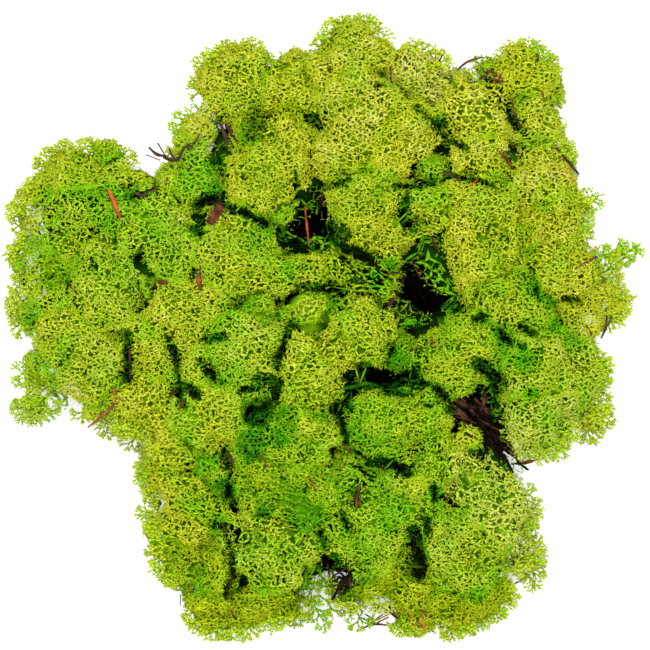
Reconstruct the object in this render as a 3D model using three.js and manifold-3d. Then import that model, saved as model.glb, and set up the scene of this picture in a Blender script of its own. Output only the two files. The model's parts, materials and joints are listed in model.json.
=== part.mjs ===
// A clump of dyed reindeer lichen: rounded heads that grow side by side out of one mat of dead stems,
// with the pine needles, twigs and bark of the forest floor still caught between them.
// Millimetres, +Z up, lying on the flat underside of the mat.

import * as THREE from 'three';
import { mergeVertices } from 'three/addons/utils/BufferGeometryUtils.js';
import Module from 'manifold-3d';

const wasm = await Module();
wasm.setup();

// ---- driving dimensions ----------------------------------------------------------------------------------

const CROWN_HEIGHT = 52;        // top of a middling head in the middle of the clump
const CROWN_DROP = 23;          // how much lower the heads at the rim stand
const CLUMP_RADIUS = 108;       // from the middle to the rim
const PRESS = 1.06;             // the domes are this much rounder than listed, and press on each other
const FOOT_WIDTH = 0.6;         // a lobe's root, as a part of its dome's radius
const LUMP_DEPTH = 0.05;        // unevenness of a dome, as a part of its radius
const MAT_OVERLAP = 0.4;        // a lobe stands on the mat if this part of its radius lies over it
const SMALL_LOBE = 8;           // a lobe under this radius stands on no root of its own
const HANG = 1.5;               // how deep such a lobe is, in radii below the middle of its dome
const LOBE_SIDES = 9;
const SMALL_SIDES = 7;
const GAP = 0.3;                // clear space between pieces that touch
const FLOOR_CLEARANCE = 0.8;    // the heads at the rim hang this far over the resting surface

const MAT_THICKNESS = 13;       // dead mat under the heads
// Distance from the middle to the mat's edge, anticlockwise from +X in equal steps.
const MAT_REACH = [
  88, 80, 80, 92, 86, 84, 92, 80, 74, 66, 86, 92,
  92, 82, 64, 66, 82, 92, 87, 90, 98, 86, 70, 82,
];

const NEEDLE_WIDTH = 1.3;       // a pine needle is a flattened strip
const NEEDLE_THICKNESS = 0.8;
const ROD_SIDES = 6;

// ---- materials -------------------------------------------------------------------------------------------

const DYE = {
  lime: new THREE.MeshStandardMaterial({ color: '#a9cc2c', roughness: 0.8, metalness: 0 }),
  yellow: new THREE.MeshStandardMaterial({ color: '#c6d43f', roughness: 0.8, metalness: 0 }),
  pale: new THREE.MeshStandardMaterial({ color: '#d2dc72', roughness: 0.8, metalness: 0 }),
  green: new THREE.MeshStandardMaterial({ color: '#74b322', roughness: 0.8, metalness: 0 }),
};
const DEAD_MAT = new THREE.MeshStandardMaterial({ color: '#3d3a20', roughness: 0.95, metalness: 0 });
const BARK = new THREE.MeshStandardMaterial({ color: '#3a2015', roughness: 0.9, metalness: 0 });
const TWIG = new THREE.MeshStandardMaterial({ color: '#4a3322', roughness: 0.85, metalness: 0 });
const NEEDLE = new THREE.MeshStandardMaterial({ color: '#a5481f', roughness: 0.6, metalness: 0 });

// ---- the heads -------------------------------------------------------------------------------------------

// Each head is one tuft of lichen, made of a few rounded lobes on one root.
// A lobe is [x, y, radius, how far its top stands over the clump's general crown].
const TUFTS = [
  ['head_north_west_crown', 'pale', [[-31, 83, 15.5, 2], [-42, 69, 7.5, -6]]],
  ['head_north_west_inner', 'yellow', [[-11, 80, 13, 0], [-15, 72, 8, -3]]],
  ['head_north_west_dome', 'yellow', [[-20, 51, 15, 5], [-13, 64, 9, 2], [-25, 62, 8.5, 2]]],
  ['head_north_west_low', 'green', [[-46, 48, 11.5, -5], [-47, 58, 7.5, -7]]],
  ['head_west_shoulder', 'lime', [[-86, 50, 14, 1], [-70, 49, 9, -2], [-96, 44, 8.5, -4]]],
  ['head_west_rim', 'lime', [[-86, 36, 14, 2], [-102, 37, 7.5, -4], [-102, 24, 7.5, -5]]],
  ['head_west_inner', 'lime', [[-60, 35, 13, 1], [-51, 23, 11.5, 1]]],
  ['head_west_high', 'lime', [[-30, 22, 15.5, 4], [-31, 33, 9, 1], [-12, 18, 11, -2]]],
  ['head_west_point', 'lime', [[-92, 10, 12, -1], [-102, 4, 8, -5], [-96, 20, 9, -3]]],
  ['head_west_middle', 'lime', [[-73, 12, 14, 2], [-74, 24, 9, -2]]],
  ['head_north_crown', 'lime', [[9, 92, 14.5, 4], [-1, 84, 10, 0]]],
  ['head_north_east_edge', 'yellow', [[32, 87, 10.5, 0], [45, 79, 9, -3]]],
  ['head_north_branchy', 'pale', [[50, 72, 13.5, 2]]],
  ['head_north_dome', 'pale', [[12, 73, 14, 4], [7, 58, 12.5, 1]]],
  ['head_north_inner', 'pale', [[29, 66, 12, 2], [22, 57, 9, -1]]],
  ['head_north_east_corner', 'lime', [[68, 86, 12.5, 2], [57, 87, 7, -5]]],
  ['head_north_east_side', 'lime', [[71, 70, 10.5, -1], [74, 79, 7.5, -3]]],
  ['head_east_shoulder', 'lime', [[72, 49, 13.5, 1], [53, 56, 11, -1], [80, 58, 6.5, -5]]],
  ['head_centre_north', 'yellow', [[13, 39, 14, 4], [33, 39, 10, -1], [25, 29, 8, -7]]],
  ['head_east_inner', 'lime', [[52, 39, 13, 3], [53, 25, 14, 4]]],
  ['head_east_side', 'lime', [[79, 36, 12.5, 0], [79, 20, 12, 0], [68, 28, 9, -2]]],
  ['head_east_hollow', 'lime', [[60, 9, 12.5, 2], [70, 2, 9, -2]]],
  ['sprig_east', 'green', [[91, 20, 5, -5], [98, 23.5, 4.5, -5], [104, 25.5, 3.5, -4]]],
  ['head_east_lace', 'pale', [[95, 7, 9.5, -5], [87, 2, 7.5, -5]]],
  ['head_south_west_shoulder', 'yellow', [[-87, -4, 12, 0], [-78, -15, 13, 2]]],
  ['sprig_west', 'green', [[-97, -16, 7, -5], [-99, -27, 5.5, -7]]],
  ['head_centre_west', 'lime', [[-48, 5, 13, 2], [-38, 10, 9.5, 0], [-58, -6, 11, 2], [-44, -13, 10, -1]]],
  ['head_centre_ridge', 'lime', [[-26, -8, 14, 4], [-25, -20, 8.5, -2]]],
  ['head_south_west_rim', 'lime', [[-63, -27, 13, 0], [-51, -40, 10.5, -1], [-75, -28, 6.5, -6]]],
  ['head_south_west_dome', 'lime', [[-39, -31, 13, 3]]],
  ['head_south_west_low', 'green', [[-46, -62, 13, -1], [-56, -51, 9, -4], [-57, -68, 5.5, -6]]],
  ['head_centre_south', 'lime', [[-8, -35, 13.5, 2], [-23, -36, 10, -5]]],
  ['head_south_inner', 'lime', [[-8, -56, 12.5, 1], [-22, -54, 10.5, -1]]],
  ['head_south_net', 'green', [[-17, -77, 15.5, 2], [-30, -71, 7.5, -4]]],
  ['head_south_west_foot', 'lime', [[-50, -80, 10.5, -2], [-37, -84, 9.5, -1]]],
  ['head_south_rim', 'lime', [[-38, -97, 11.5, 1], [-18, -92, 13, 0], [-28, -100, 8, -3]]],
  ['head_centre_tongue', 'yellow', [[-4, -13, 13.5, 6], [11, -3, 12.5, 6], [-6, -24, 8.5, 1]]],
  ['head_centre_hollow', 'green', [[5, 15, 9, -13], [15, 17, 7.5, -11]]],
  ['head_centre_east', 'lime', [[46, -9, 14.5, 5], [29, -9, 9, -6]]],
  ['head_east_rim', 'lime', [[72, -13, 15, 2], [87, -17, 11.5, -1], [91, -30, 6.5, -6]]],
  ['head_east_dome', 'lime', [[73, -33, 14, 3]]],
  ['head_south_east_inner', 'green', [[19, -34, 13, 2], [34, -32, 11.5, 0], [33, -50, 9, -3]]],
  ['head_south_east_side', 'pale', [[60, -63, 14, 3], [49, -52, 11, -1], [68, -78, 7.5, -5]]],
  ['head_south_east_crown', 'yellow', [[48, -77, 15, 4], [38, -68, 9, 0]]],
  ['head_south_middle', 'lime', [[26, -61, 13, 2], [6, -59, 11.5, 0], [13, -73, 13.5, 2]]],
  ['head_south_foot', 'lime', [[25, -87, 13, 1], [9, -91, 8, -7], [28, -99, 7.5, -4]]],
  ['head_south_east_foot', 'lime', [[51, -91, 14, 2], [45, -103, 5.5, -4], [39, -96, 8.5, -2]]],
];

const HEADS = TUFTS.map(([name, dye, lobes]) => (
  [name, dye, lobes.map(([x, y, radius, lift]) => [x, y, PRESS * radius, lift])]
));

// Height of the clump's general crown over a point of the ground.
function crownHeight(x, y) {
  const reach = Math.hypot(x, y) / CLUMP_RADIUS;
  return CROWN_HEIGHT - CROWN_DROP * reach * reach;
}

// Distance from the middle to the mat's edge, in the direction of a point of the ground.
function matReach(x, y) {
  const turn = (Math.atan2(y, x) / (2 * Math.PI) + 1) % 1 * MAT_REACH.length;
  const side = Math.floor(turn);
  const next = MAT_REACH[(side + 1) % MAT_REACH.length];
  return MAT_REACH[side] + (turn - side) * (next - MAT_REACH[side]);
}

// Height of the foot of a lobe: on the mat, or near the ground beyond the mat's edge.
function footHeight([x, y, radius, lift]) {
  if (Math.hypot(x, y) < matReach(x, y) - MAT_OVERLAP * radius) return MAT_THICKNESS + GAP;
  if (radius >= SMALL_LOBE) return FLOOR_CLEARANCE;
  return Math.max(domeCentre([x, y, radius, lift]) - HANG * radius, FLOOR_CLEARANCE);
}

// Height of the middle of a lobe's dome.
function domeCentre([x, y, radius, lift]) {
  return crownHeight(x, y) + lift - radius;
}

// Height of a lobe's dome at some distance from its axis.
function domeHeight(lobe, distance) {
  return domeCentre(lobe) + Math.sqrt(Math.max(lobe[2] ** 2 - distance ** 2, 0));
}

// ---- solids ----------------------------------------------------------------------------------------------

function solidOf(geometry) {
  geometry.deleteAttribute('normal');
  geometry.deleteAttribute('uv');
  const merged = mergeVertices(geometry, 1e-4);
  return new wasm.Manifold(new wasm.Mesh({
    numProp: 3,
    vertProperties: new Float32Array(merged.attributes.position.array),
    triVerts: new Uint32Array(merged.index.array),
  }));
}

function geometryOf(solid) {
  const mesh = solid.getMesh();
  const geometry = new THREE.BufferGeometry();
  geometry.setAttribute('position', new THREE.BufferAttribute(new Float32Array(mesh.vertProperties), 3));
  geometry.setIndex(new THREE.BufferAttribute(new Uint32Array(mesh.triVerts), 1));
  geometry.computeVertexNormals();
  return geometry;
}

// Moves every vertex of a geometry by a rule that takes and changes its position.
function bend(geometry, rule) {
  const places = geometry.attributes.position;
  const point = new THREE.Vector3();
  for (let i = 0; i < places.count; i += 1) {
    point.fromBufferAttribute(places, i);
    rule(point);
    places.setXYZ(i, point.x, point.y, point.z);
  }
  return geometry;
}

// A lobe: a round dome that narrows below to its root. A small one at the rim hangs free of the ground.
function lobeSolid(lobe) {
  const [x, y, radius] = lobe;
  const middle = domeCentre(lobe);
  const foot = footHeight(lobe);
  const profile = [
    [0, foot], [FOOT_WIDTH * radius, foot], [radius, middle],
    [0.87 * radius, middle + 0.5 * radius], [0.5 * radius, middle + 0.87 * radius],
    [0, middle + radius],
  ];
  const dome = new THREE.LatheGeometry(
    profile.map(([across, up]) => new THREE.Vector2(across, up)),
    radius < 9 ? SMALL_SIDES : LOBE_SIDES,
  );
  dome.rotateX(Math.PI / 2);
  bend(dome, (point) => {
    const lump = Math.sin(0.35 * point.x + x) * Math.cos(0.35 * point.y + y);
    const raised = point.z > foot + 1;
    if (raised) point.x *= 1 + LUMP_DEPTH * lump;
    if (raised) point.y *= 1 + LUMP_DEPTH * lump;
  });
  dome.translate(x, y, 0);
  return solidOf(dome);
}

// Everything beyond an upright plane, as far as it matters here.
function halfSpace(x, y, angle) {
  const size = 3 * CLUMP_RADIUS;
  const block = new THREE.BoxGeometry(size, size, size);
  block.translate(size / 2, 0, 0);
  block.rotateZ(angle);
  block.translate(x, y, 0);
  return solidOf(block);
}

// The space that a neighbouring lobe takes: beyond the upright plane in which the two domes meet.
function neighbourSpace(lobe, neighbour) {
  const across = neighbour[0] - lobe[0];
  const along = neighbour[1] - lobe[1];
  const distance = Math.hypot(across, along);
  if (distance > (lobe[2] + neighbour[2]) * (1 + LUMP_DEPTH) + GAP) return null;
  let near = Math.max(distance - neighbour[2], 0);
  let far = Math.min(lobe[2], distance);
  if (near > far) [near, far] = [far, near];
  for (let i = 0; i < 30; i += 1) {
    const middle = (near + far) / 2;
    if (domeHeight(lobe, middle) > domeHeight(neighbour, distance - middle)) near = middle;
    else far = middle;
  }
  const reach = (near + far) / 2 - GAP / 2;
  const angle = Math.atan2(along, across);
  return halfSpace(lobe[0] + reach * Math.cos(angle), lobe[1] + reach * Math.sin(angle), angle);
}

// ---- the dead mat ----------------------------------------------------------------------------------------

// Grown by some margin, the same shape cuts the heads that rest on it.
function matGeometry(margin) {
  const top = MAT_THICKNESS + margin;
  const profile = [[0, -margin], [0.96, -margin], [1, 0.5 * top], [0.95, top], [0, top]];
  const plate = new THREE.LatheGeometry(
    profile.map(([across, up]) => new THREE.Vector2(across, up)),
    MAT_REACH.length,
  );
  plate.rotateX(Math.PI / 2);
  return bend(plate, (point) => {
    const angle = Math.atan2(point.y, point.x);
    const side = Math.round(MAT_REACH.length * angle / (2 * Math.PI));
    const edge = MAT_REACH.at(side % MAT_REACH.length) + 1.5 * margin;
    point.x *= edge;
    point.y *= edge;
  });
}

// ---- litter ----------------------------------------------------------------------------------------------

// A rod along a line of points: its section is a flattened polygon.
function rodGeometry(route, width, thickness, margin) {
  const points = route.map((place) => new THREE.Vector3(...place));
  if (margin > 0) {
    const first = points[0].clone().sub(points[1]).setLength(margin);
    const last = points.at(-1).clone().sub(points.at(-2)).setLength(margin);
    points[0].add(first);
    points.at(-1).add(last);
  }
  const section = new THREE.Shape();
  for (let i = 0; i < ROD_SIDES; i += 1) {
    const angle = 2 * Math.PI * i / ROD_SIDES;
    const across = (thickness / 2 + margin) * Math.cos(angle);
    const along = (width / 2 + margin) * Math.sin(angle);
    if (i === 0) section.moveTo(across, along);
    else section.lineTo(across, along);
  }
  return new THREE.ExtrudeGeometry(section, {
    steps: 2 * (points.length - 1),
    extrudePath: new THREE.CatmullRomCurve3(points),
    bevelEnabled: false,
  });
}

// A flat piece of bark: an uneven strip, tilted and turned into its crevice.
function barkGeometry({ x, y, z, length, width, thickness, turn, tilt, pitch }, margin) {
  const outline = new THREE.Shape();
  const notches = 7;
  for (let i = 0; i <= notches; i += 1) {
    const along = (i / notches - 0.5) * (length + 2 * margin);
    const wave = 0.16 * width * Math.sin(2.3 * i + x);
    if (i === 0) outline.moveTo(along, -0.5 * width - margin + wave);
    else outline.lineTo(along, -0.5 * width - margin + wave);
  }
  for (let i = notches; i >= 0; i -= 1) {
    const along = (i / notches - 0.5) * (length + 2 * margin);
    outline.lineTo(along, 0.5 * width + margin + 0.14 * width * Math.cos(1.9 * i + y));
  }
  const strip = new THREE.ExtrudeGeometry(outline, { depth: thickness + 2 * margin, bevelEnabled: false });
  strip.translate(0, 0, -thickness / 2 - margin);
  strip.rotateX(tilt);
  strip.rotateY(pitch);
  strip.rotateZ(turn);
  strip.translate(x, y, z);
  return strip;
}

function needle(route) {
  return (margin) => rodGeometry(route, NEEDLE_WIDTH, NEEDLE_THICKNESS, margin);
}

function twig(route, diameter) {
  return (margin) => rodGeometry(route, diameter, diameter, margin);
}

function bark(place) {
  return (margin) => barkGeometry(place, margin);
}

// Rods run through points [x, y, z] on and between the heads.
const LITTER = [
  ['bark_slab', BARK, bark({
    x: 50, y: -31, z: 27, length: 33, width: 8, thickness: 3, turn: -0.72, tilt: 0.5, pitch: 0.1,
  })],
  ['bark_curl', BARK, bark({
    x: 62, y: -45, z: 31, length: 17, width: 4, thickness: 2, turn: -0.9, tilt: -0.7, pitch: 0.15,
  })],
  ['bark_flake_west', BARK, bark({
    x: -36.5, y: 37, z: 44, length: 7, width: 4, thickness: 1.2, turn: 1.0, tilt: 0.3, pitch: -0.2,
  })],
  ['needle_long', NEEDLE, needle([[-7, 41, 42], [-6.2, 34, 42.5], [-5.5, 27, 40]])],
  ['needle_west', NEEDLE, needle([[-74, 46, 33], [-71.5, 41.5, 34.5], [-69, 37, 34.5]])],
  ['needle_east', NEEDLE, needle([[79, 60.5, 31.5], [83, 56, 31], [87, 51.5, 27]])],
  ['needle_north_east', NEEDLE, needle([[60, 59, 37.5], [62, 56.5, 36], [64.5, 53.5, 32]])],
  ['twig_north', TWIG, twig([[42, 86, 31], [47, 91, 30], [54, 93.5, 27]], 1.3)],
  ['twig_south_west', TWIG, twig([[-71, -20, 35], [-74, -29, 32], [-81.5, -35, 27]], 1.4)],
  ['twig_east', TWIG, twig([[96, 4, 27], [96.5, 0, 25.5], [96, -4, 24]], 1.2)],
  ['stick_centre', TWIG, twig([[28, 17, 33], [24.5, 11, 38], [21, 5, 46]], 2.0)],
  ['stick_south', TWIG, twig([[12, -81, 35.5], [6, -87, 29], [1, -96, 22]], 1.6)],
];

// ---- assembly --------------------------------------------------------------------------------------------

const clump = new THREE.Group();

function addPiece(name, solid, material) {
  const mesh = new THREE.Mesh(geometryOf(solid), material);
  mesh.name = name;
  clump.add(mesh);
}

addPiece('dead_base_mat', solidOf(matGeometry(0)), DEAD_MAT);

const matSpace = solidOf(matGeometry(GAP));
const litterSpaces = LITTER.map(([, , shape]) => solidOf(shape(GAP)));

for (const [name, dye, lobes] of HEADS) {
  const neighbours = HEADS.filter(([other]) => other !== name).flatMap(([, , others]) => others);
  let head = null;
  for (const lobe of lobes) {
    let solid = lobeSolid(lobe);
    for (const neighbour of neighbours) {
      const taken = neighbourSpace(lobe, neighbour);
      if (taken) solid = solid.subtract(taken);
    }
    head = head ? head.add(solid) : solid;
  }
  head = head.subtract(matSpace);
  for (const space of litterSpaces) head = head.subtract(space);
  addPiece(name, head, DYE[dye]);
}

for (const [name, material, shape] of LITTER) addPiece(name, solidOf(shape(0)), material);

// The origin is the middle of the clump's footprint, on the resting surface.
const box = new THREE.Box3().setFromObject(clump);
const middle = box.getCenter(new THREE.Vector3());
for (const mesh of clump.children) mesh.geometry.translate(-middle.x, -middle.y, -box.min.z);

export default clump;
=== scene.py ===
# A clump of dyed reindeer lichen, lying on a pale table: finely branched rounded heads on one mat of dead
# stems, with the pine needles, twigs and bark of the forest floor caught in it. Metres, +Z up.

import bpy, bmesh, itertools, json, math, random
from mathutils import Matrix, Vector, noise
from mathutils.bvhtree import BVHTree

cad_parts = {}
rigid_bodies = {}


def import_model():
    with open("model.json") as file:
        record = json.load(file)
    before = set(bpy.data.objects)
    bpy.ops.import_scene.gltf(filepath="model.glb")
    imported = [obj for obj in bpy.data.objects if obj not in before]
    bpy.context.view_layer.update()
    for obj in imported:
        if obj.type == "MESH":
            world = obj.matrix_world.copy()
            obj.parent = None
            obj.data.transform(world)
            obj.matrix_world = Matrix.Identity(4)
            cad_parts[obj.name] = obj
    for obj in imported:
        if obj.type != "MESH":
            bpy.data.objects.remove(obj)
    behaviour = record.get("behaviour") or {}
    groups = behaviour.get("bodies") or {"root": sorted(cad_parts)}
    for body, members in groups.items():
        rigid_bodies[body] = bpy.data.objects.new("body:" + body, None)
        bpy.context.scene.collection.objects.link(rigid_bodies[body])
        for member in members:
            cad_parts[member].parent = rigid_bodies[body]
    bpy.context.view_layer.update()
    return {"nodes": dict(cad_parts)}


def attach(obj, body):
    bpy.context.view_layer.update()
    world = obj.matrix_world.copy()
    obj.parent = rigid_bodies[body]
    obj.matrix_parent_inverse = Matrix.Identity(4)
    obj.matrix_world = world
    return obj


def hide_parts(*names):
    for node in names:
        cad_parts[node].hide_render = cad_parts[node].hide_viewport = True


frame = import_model()
nodes = frame["nodes"]
MM = 0.001


# The camera looks straight down on the clump through a long lens, as at a thing laid on a light table.
VIEW_WIDTH = 221 * MM
VIEW_CENTRE = Vector((1.4 * MM, 1.0 * MM, 34 * MM))
CAMERA_DISTANCE = 1.5
CAMERA_REACH = 20
SENSOR = 36.0


def placed(name, data):
    """A new object in the scene, at the origin."""
    newcomer = bpy.data.objects.new(name, data)
    bpy.context.scene.collection.objects.link(newcomer)
    return newcomer


camera_data = bpy.data.cameras.new("camera")
camera_data.sensor_width = SENSOR
camera_data.lens = SENSOR * CAMERA_DISTANCE / VIEW_WIDTH
camera_data.clip_end = CAMERA_REACH
camera = placed("camera", camera_data)
camera.location = VIEW_CENTRE + Vector((0, 0, CAMERA_DISTANCE))
bpy.context.scene.camera = camera


# The table top is a plain near-white sheet that glows a little. The light is an even white sky, with one
# soft lamp above to the upper left and a weak one across from it, so that gaps between branches stay dark.
FLOOR_HALF = 3.0
TABLE_FINISH = {
    "Base Color": (0.93, 0.93, 0.93, 1), "Roughness": 0.9,
    "Emission Color": (1, 1, 1, 1), "Emission Strength": 0.34,
}
SKY_STRENGTH = 0.79
LAMPS = (
    # name, place, size, power in watts
    ("key", (-0.15, 0.2, 1.4), 0.8, 22),
    ("fill", (0.7, -0.5, 1.2), 1.0, 5),
)


def shape_of(name, points, faces):
    """A new object of these points and faces."""
    mesh = bpy.data.meshes.new(name)
    mesh.from_pydata(points, [], faces)
    return placed(name, mesh)


corners = ((-1, -1), (1, -1), (1, 1), (-1, 1))
floor = shape_of("table_top", [(x * FLOOR_HALF, y * FLOOR_HALF, 0) for x, y in corners], [(0, 1, 2, 3)])
floor_paint = bpy.data.materials.new("table_white")
floor_paint.use_nodes = True
for socket_name, value in TABLE_FINISH.items():
    floor_paint.node_tree.nodes["Principled BSDF"].inputs[socket_name].default_value = value
floor.data.materials.append(floor_paint)

sky = bpy.data.worlds.new("soft_sky")
sky.use_nodes = True
sky.node_tree.nodes["Background"].inputs["Color"].default_value = (1.0, 1.0, 1.0, 1)
sky.node_tree.nodes["Background"].inputs["Strength"].default_value = SKY_STRENGTH
bpy.context.scene.world = sky
for lamp_name, lamp_place, lamp_size, lamp_power in LAMPS:
    lamp_data = bpy.data.lights.new(lamp_name, "AREA")
    lamp_data.size = lamp_size
    lamp_data.energy = lamp_power
    lamp = placed(lamp_name, lamp_data)
    lamp.location = lamp_place
    lamp.rotation_euler = (VIEW_CENTRE - lamp.location).to_track_quat("-Z", "Y").to_euler()
    lamp.visible_camera = False
bpy.context.scene.view_settings.view_transform = "Standard"


# The heads are tufts of one branching lichen, dyed lime: stems that fork again and again into whorls of
# hair-fine tips, which together make a rounded, cauliflower-like surface. They grow out of the mat, each
# from a geometry tree that runs on the head's own solid.
in_hand = None


def node(kind, *numbered, **named):
    """Adds a node to the tree in hand. Unnamed values go to its first inputs, or to those that a dict
    numbers; a word with a capital names an input, and any other word a setting."""
    kinds = (family + kind for family in ("GeometryNode", "ShaderNode", "FunctionNode", ""))
    added = in_hand.nodes.new(next(full for full in kinds if hasattr(bpy.types, full)))
    by_number = numbered and isinstance(numbered[0], dict)
    inputs = dict(numbered[0] if by_number else enumerate(numbered))
    for word, value in named.items():
        if word[0].isupper():
            inputs[word.replace("_", " ")] = value
        else:
            setattr(added, word, value)
    for key, value in inputs.items():
        if isinstance(value, bpy.types.NodeSocket):
            in_hand.links.new(value, added.inputs[key])
        else:
            added.inputs[key].default_value = value
    return added


def made(kind, *numbered, **named):
    """The first output of a new node."""
    return node(kind, *numbered, **named).outputs[0]


def sum_node(operation, turned=False):
    """What a sign between two sockets makes: a node on vectors if one of them is a vector."""
    def combine(one, other):
        pair = (other, one) if turned else (one, other)
        arrows = [isinstance(part, tuple) or getattr(part, "type", "") in ("VECTOR", "RGBA") for part in pair]
        if arrows == [True, False]:
            return made("VectorMath", pair[0], Scale=pair[1], operation="SCALE")
        return made("VectorMath" if any(arrows) else "Math", *pair, operation=operation)
    return combine


for sign, operation in (
    ("add", "ADD"), ("sub", "SUBTRACT"), ("mul", "MULTIPLY"), ("truediv", "DIVIDE"),
):
    setattr(bpy.types.NodeSocket, f"__{sign}__", sum_node(operation))
    setattr(bpy.types.NodeSocket, f"__r{sign}__", sum_node(operation, True))
bpy.types.NodeSocket.__gt__ = sum_node("GREATER_THAN")
bpy.types.NodeSocket.__lt__ = sum_node("LESS_THAN")


def larger(one, other):
    return made("Math", one, other, operation="MAXIMUM")


def smaller(one, other):
    return made("Math", one, other, operation="MINIMUM")


def dot(one, other):
    return node("VectorMath", one, other, operation="DOT_PRODUCT").outputs["Value"]


def length_of(vector):
    return node("VectorMath", vector, operation="LENGTH").outputs["Value"]


def up_part(vector):
    return node("SeparateXYZ", vector).outputs["Z"]


def between(value, low, high, at_low=0.0, at_high=1.0, **settings):
    """Runs from one value to the other as the first goes from low to high, and holds beyond them."""
    return made(
        "MapRange", Value=value, From_Min=low, From_Max=high, To_Min=at_low, To_Max=at_high, **settings)


def speckle(place, scale, detail=1.0, output="Fac"):
    return node("TexNoise", Vector=place, Scale=scale, Detail=detail).outputs[output]


def read(name, kind="FLOAT"):
    return made("InputNamedAttribute", Name=name, data_type=kind)


def marked(geometry, name, value, kind="FLOAT", domain="POINT"):
    return made(
        "StoreNamedAttribute", Geometry=geometry, Name=name, Value=value, data_type=kind, domain=domain)


def thing(item, **settings):
    """The geometry of an object that a tree is given."""
    return node("ObjectInfo", Object=item, **settings).outputs["Geometry"]


def joined(parts):
    heap = node("JoinGeometry")
    for part in parts:
        in_hand.links.new(part, heap.inputs[0])
    return made("RealizeInstances", Geometry=heap.outputs[0])


def painted(geometry, material):
    return made("SetMaterial", Geometry=geometry, Material=material)


def shifted(geometry, offset):
    return made("SetPosition", Geometry=geometry, Offset=offset)


def put(geometry, position):
    return made("SetPosition", Geometry=geometry, Position=position)


def without(geometry, selection, domain="POINT", **settings):
    return made("DeleteGeometry", Geometry=geometry, Selection=selection, domain=domain, **settings)


def nearest(geometry, place, domain="POINT"):
    """Number of the point or edge nearest to a place."""
    return made("SampleNearest", Geometry=geometry, Sample_Position=place, domain=domain)


def distance_to(geometry, element, **inputs):
    return node("Proximity", geometry, target_element=element, **inputs).outputs["Distance"]


def taken(geometry, value, index, kind="FLOAT", domain="POINT"):
    """A value as it is on one point or edge of a geometry."""
    return made("SampleIndex", Geometry=geometry, Value=value, Index=index, data_type=kind, domain=domain)


def remeshed(mesh, grain, band, skin_grain, depth):
    """An even skin at a depth in the haze of a closed mesh."""
    haze = made(
        "MeshToVolume", Mesh=mesh, Voxel_Size=grain, Interior_Band_Width=band, resolution_mode="VOXEL_SIZE")
    return made(
        "VolumeToMesh", Volume=haze, Voxel_Size=skin_grain, Threshold=depth, resolution_mode="VOXEL_SIZE")


def scattered(surface, gap, amount, seed):
    """Points evenly over a surface, no two nearer than the gap."""
    return node(
        "DistributePointsOnFaces", Mesh=surface, Distance_Min=gap, Density_Factor=amount,
        Density_Max=9.0 / (gap * gap), Seed=seed, distribute_method="POISSON").outputs


def upright(height):
    return made("CombineXYZ", Z=height)


def stick_size(width, length):
    return made("CombineXYZ", X=width, Y=width, Z=length)


def pointing(vector):
    """The turn that lays a rod along a vector."""
    return made("AlignRotationToVector", Vector=vector, axis="Z")


def random_figure(low, high, seed):
    return node("RandomValue", {2: low, 3: high}, Seed=seed, data_type="FLOAT").outputs[1]


def random_arrow(seed, most=(1, 1, 1)):
    return made("RandomValue", tuple(-part for part in most), most, Seed=seed, data_type="FLOAT_VECTOR")


def chance(share, seed):
    return node("RandomValue", Probability=share, Seed=seed, data_type="BOOLEAN").outputs[3]


def with_runs(lines):
    """Lines with the turn and the length of each edge on it, where edges start, and their length."""
    ends = node("InputMeshEdgeVertices").outputs
    run = ends["Position 2"] - ends["Position 1"]
    run_length = length_of(run)
    lines = marked(lines, "turn", pointing(run), "QUATERNION", "EDGE")
    return marked(lines, "length", run_length, "FLOAT", "EDGE"), ends["Position 1"], run_length


def end_tree(branches, shade, tint, spare, material):
    """Gives branches their own chart of depth colour, painted shade included, and of dye, and their material,
    and ends the tree in hand.
    """
    geometry = marked(branches, "OFBake", made("CombineXYZ", X=shade, Y=tint), "FLOAT2", "CORNER")
    for name in spare:
        geometry = made("RemoveAttribute", Geometry=geometry, Name=name)
    node("NodeGroupOutput", painted(made("SetShadeSmooth", Geometry=geometry), material))


def new_tree(name, inputs):
    """An empty geometry tree with named inputs; a word stands for an input without a value of its own."""
    global in_hand
    in_hand = bpy.data.node_groups.new(name, "GeometryNodeTree")
    for input_name, value in {"Geometry": "Geometry", **inputs}.items():
        kind = value if isinstance(value, str) else "Int" if isinstance(value, int) else "Float"
        socket = in_hand.interface.new_socket(input_name, in_out="INPUT", socket_type="NodeSocket" + kind)
        if not isinstance(value, str):
            socket.default_value = value
    in_hand.interface.new_socket("Geometry", in_out="OUTPUT", socket_type="NodeSocketGeometry")
    return in_hand, node("NodeGroupInput").outputs


def run_tree(mesh, tree, values, piece_name):
    """Runs a tree on a mesh and gives back the result as a plain mesh object on the one body."""
    start = placed(piece_name + "_start", mesh)
    modifier = start.modifiers.new("growth", "NODES")
    modifier.node_group = tree
    for item in tree.interface.items_tree:
        if item.in_out == "INPUT" and item.name in values:
            modifier[item.identifier] = values[item.name]
    result = bpy.data.meshes.new_from_object(start.evaluated_get(bpy.context.evaluated_depsgraph_get()))
    start.modifiers.remove(modifier)
    bpy.data.objects.remove(start)
    bpy.data.meshes.remove(mesh)
    if result.materials[0] is None:
        result.materials.pop(index=0)
    result.name = piece_name
    piece = placed(piece_name, result)
    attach(piece, "root")
    return piece


def mesh_of(work, name):
    """The mesh of a finished bmesh."""
    mesh = bpy.data.meshes.new(name)
    work.to_mesh(mesh)
    work.free()
    return mesh


def merged(*node_names):
    """CAD nodes' meshes in one, with their loose triangles joined."""
    work = bmesh.new()
    for node_name in node_names:
        work.from_mesh(nodes[node_name].data)
    bmesh.ops.remove_doubles(work, verts=work.verts, dist=SAME_PLACE)
    return work


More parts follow.
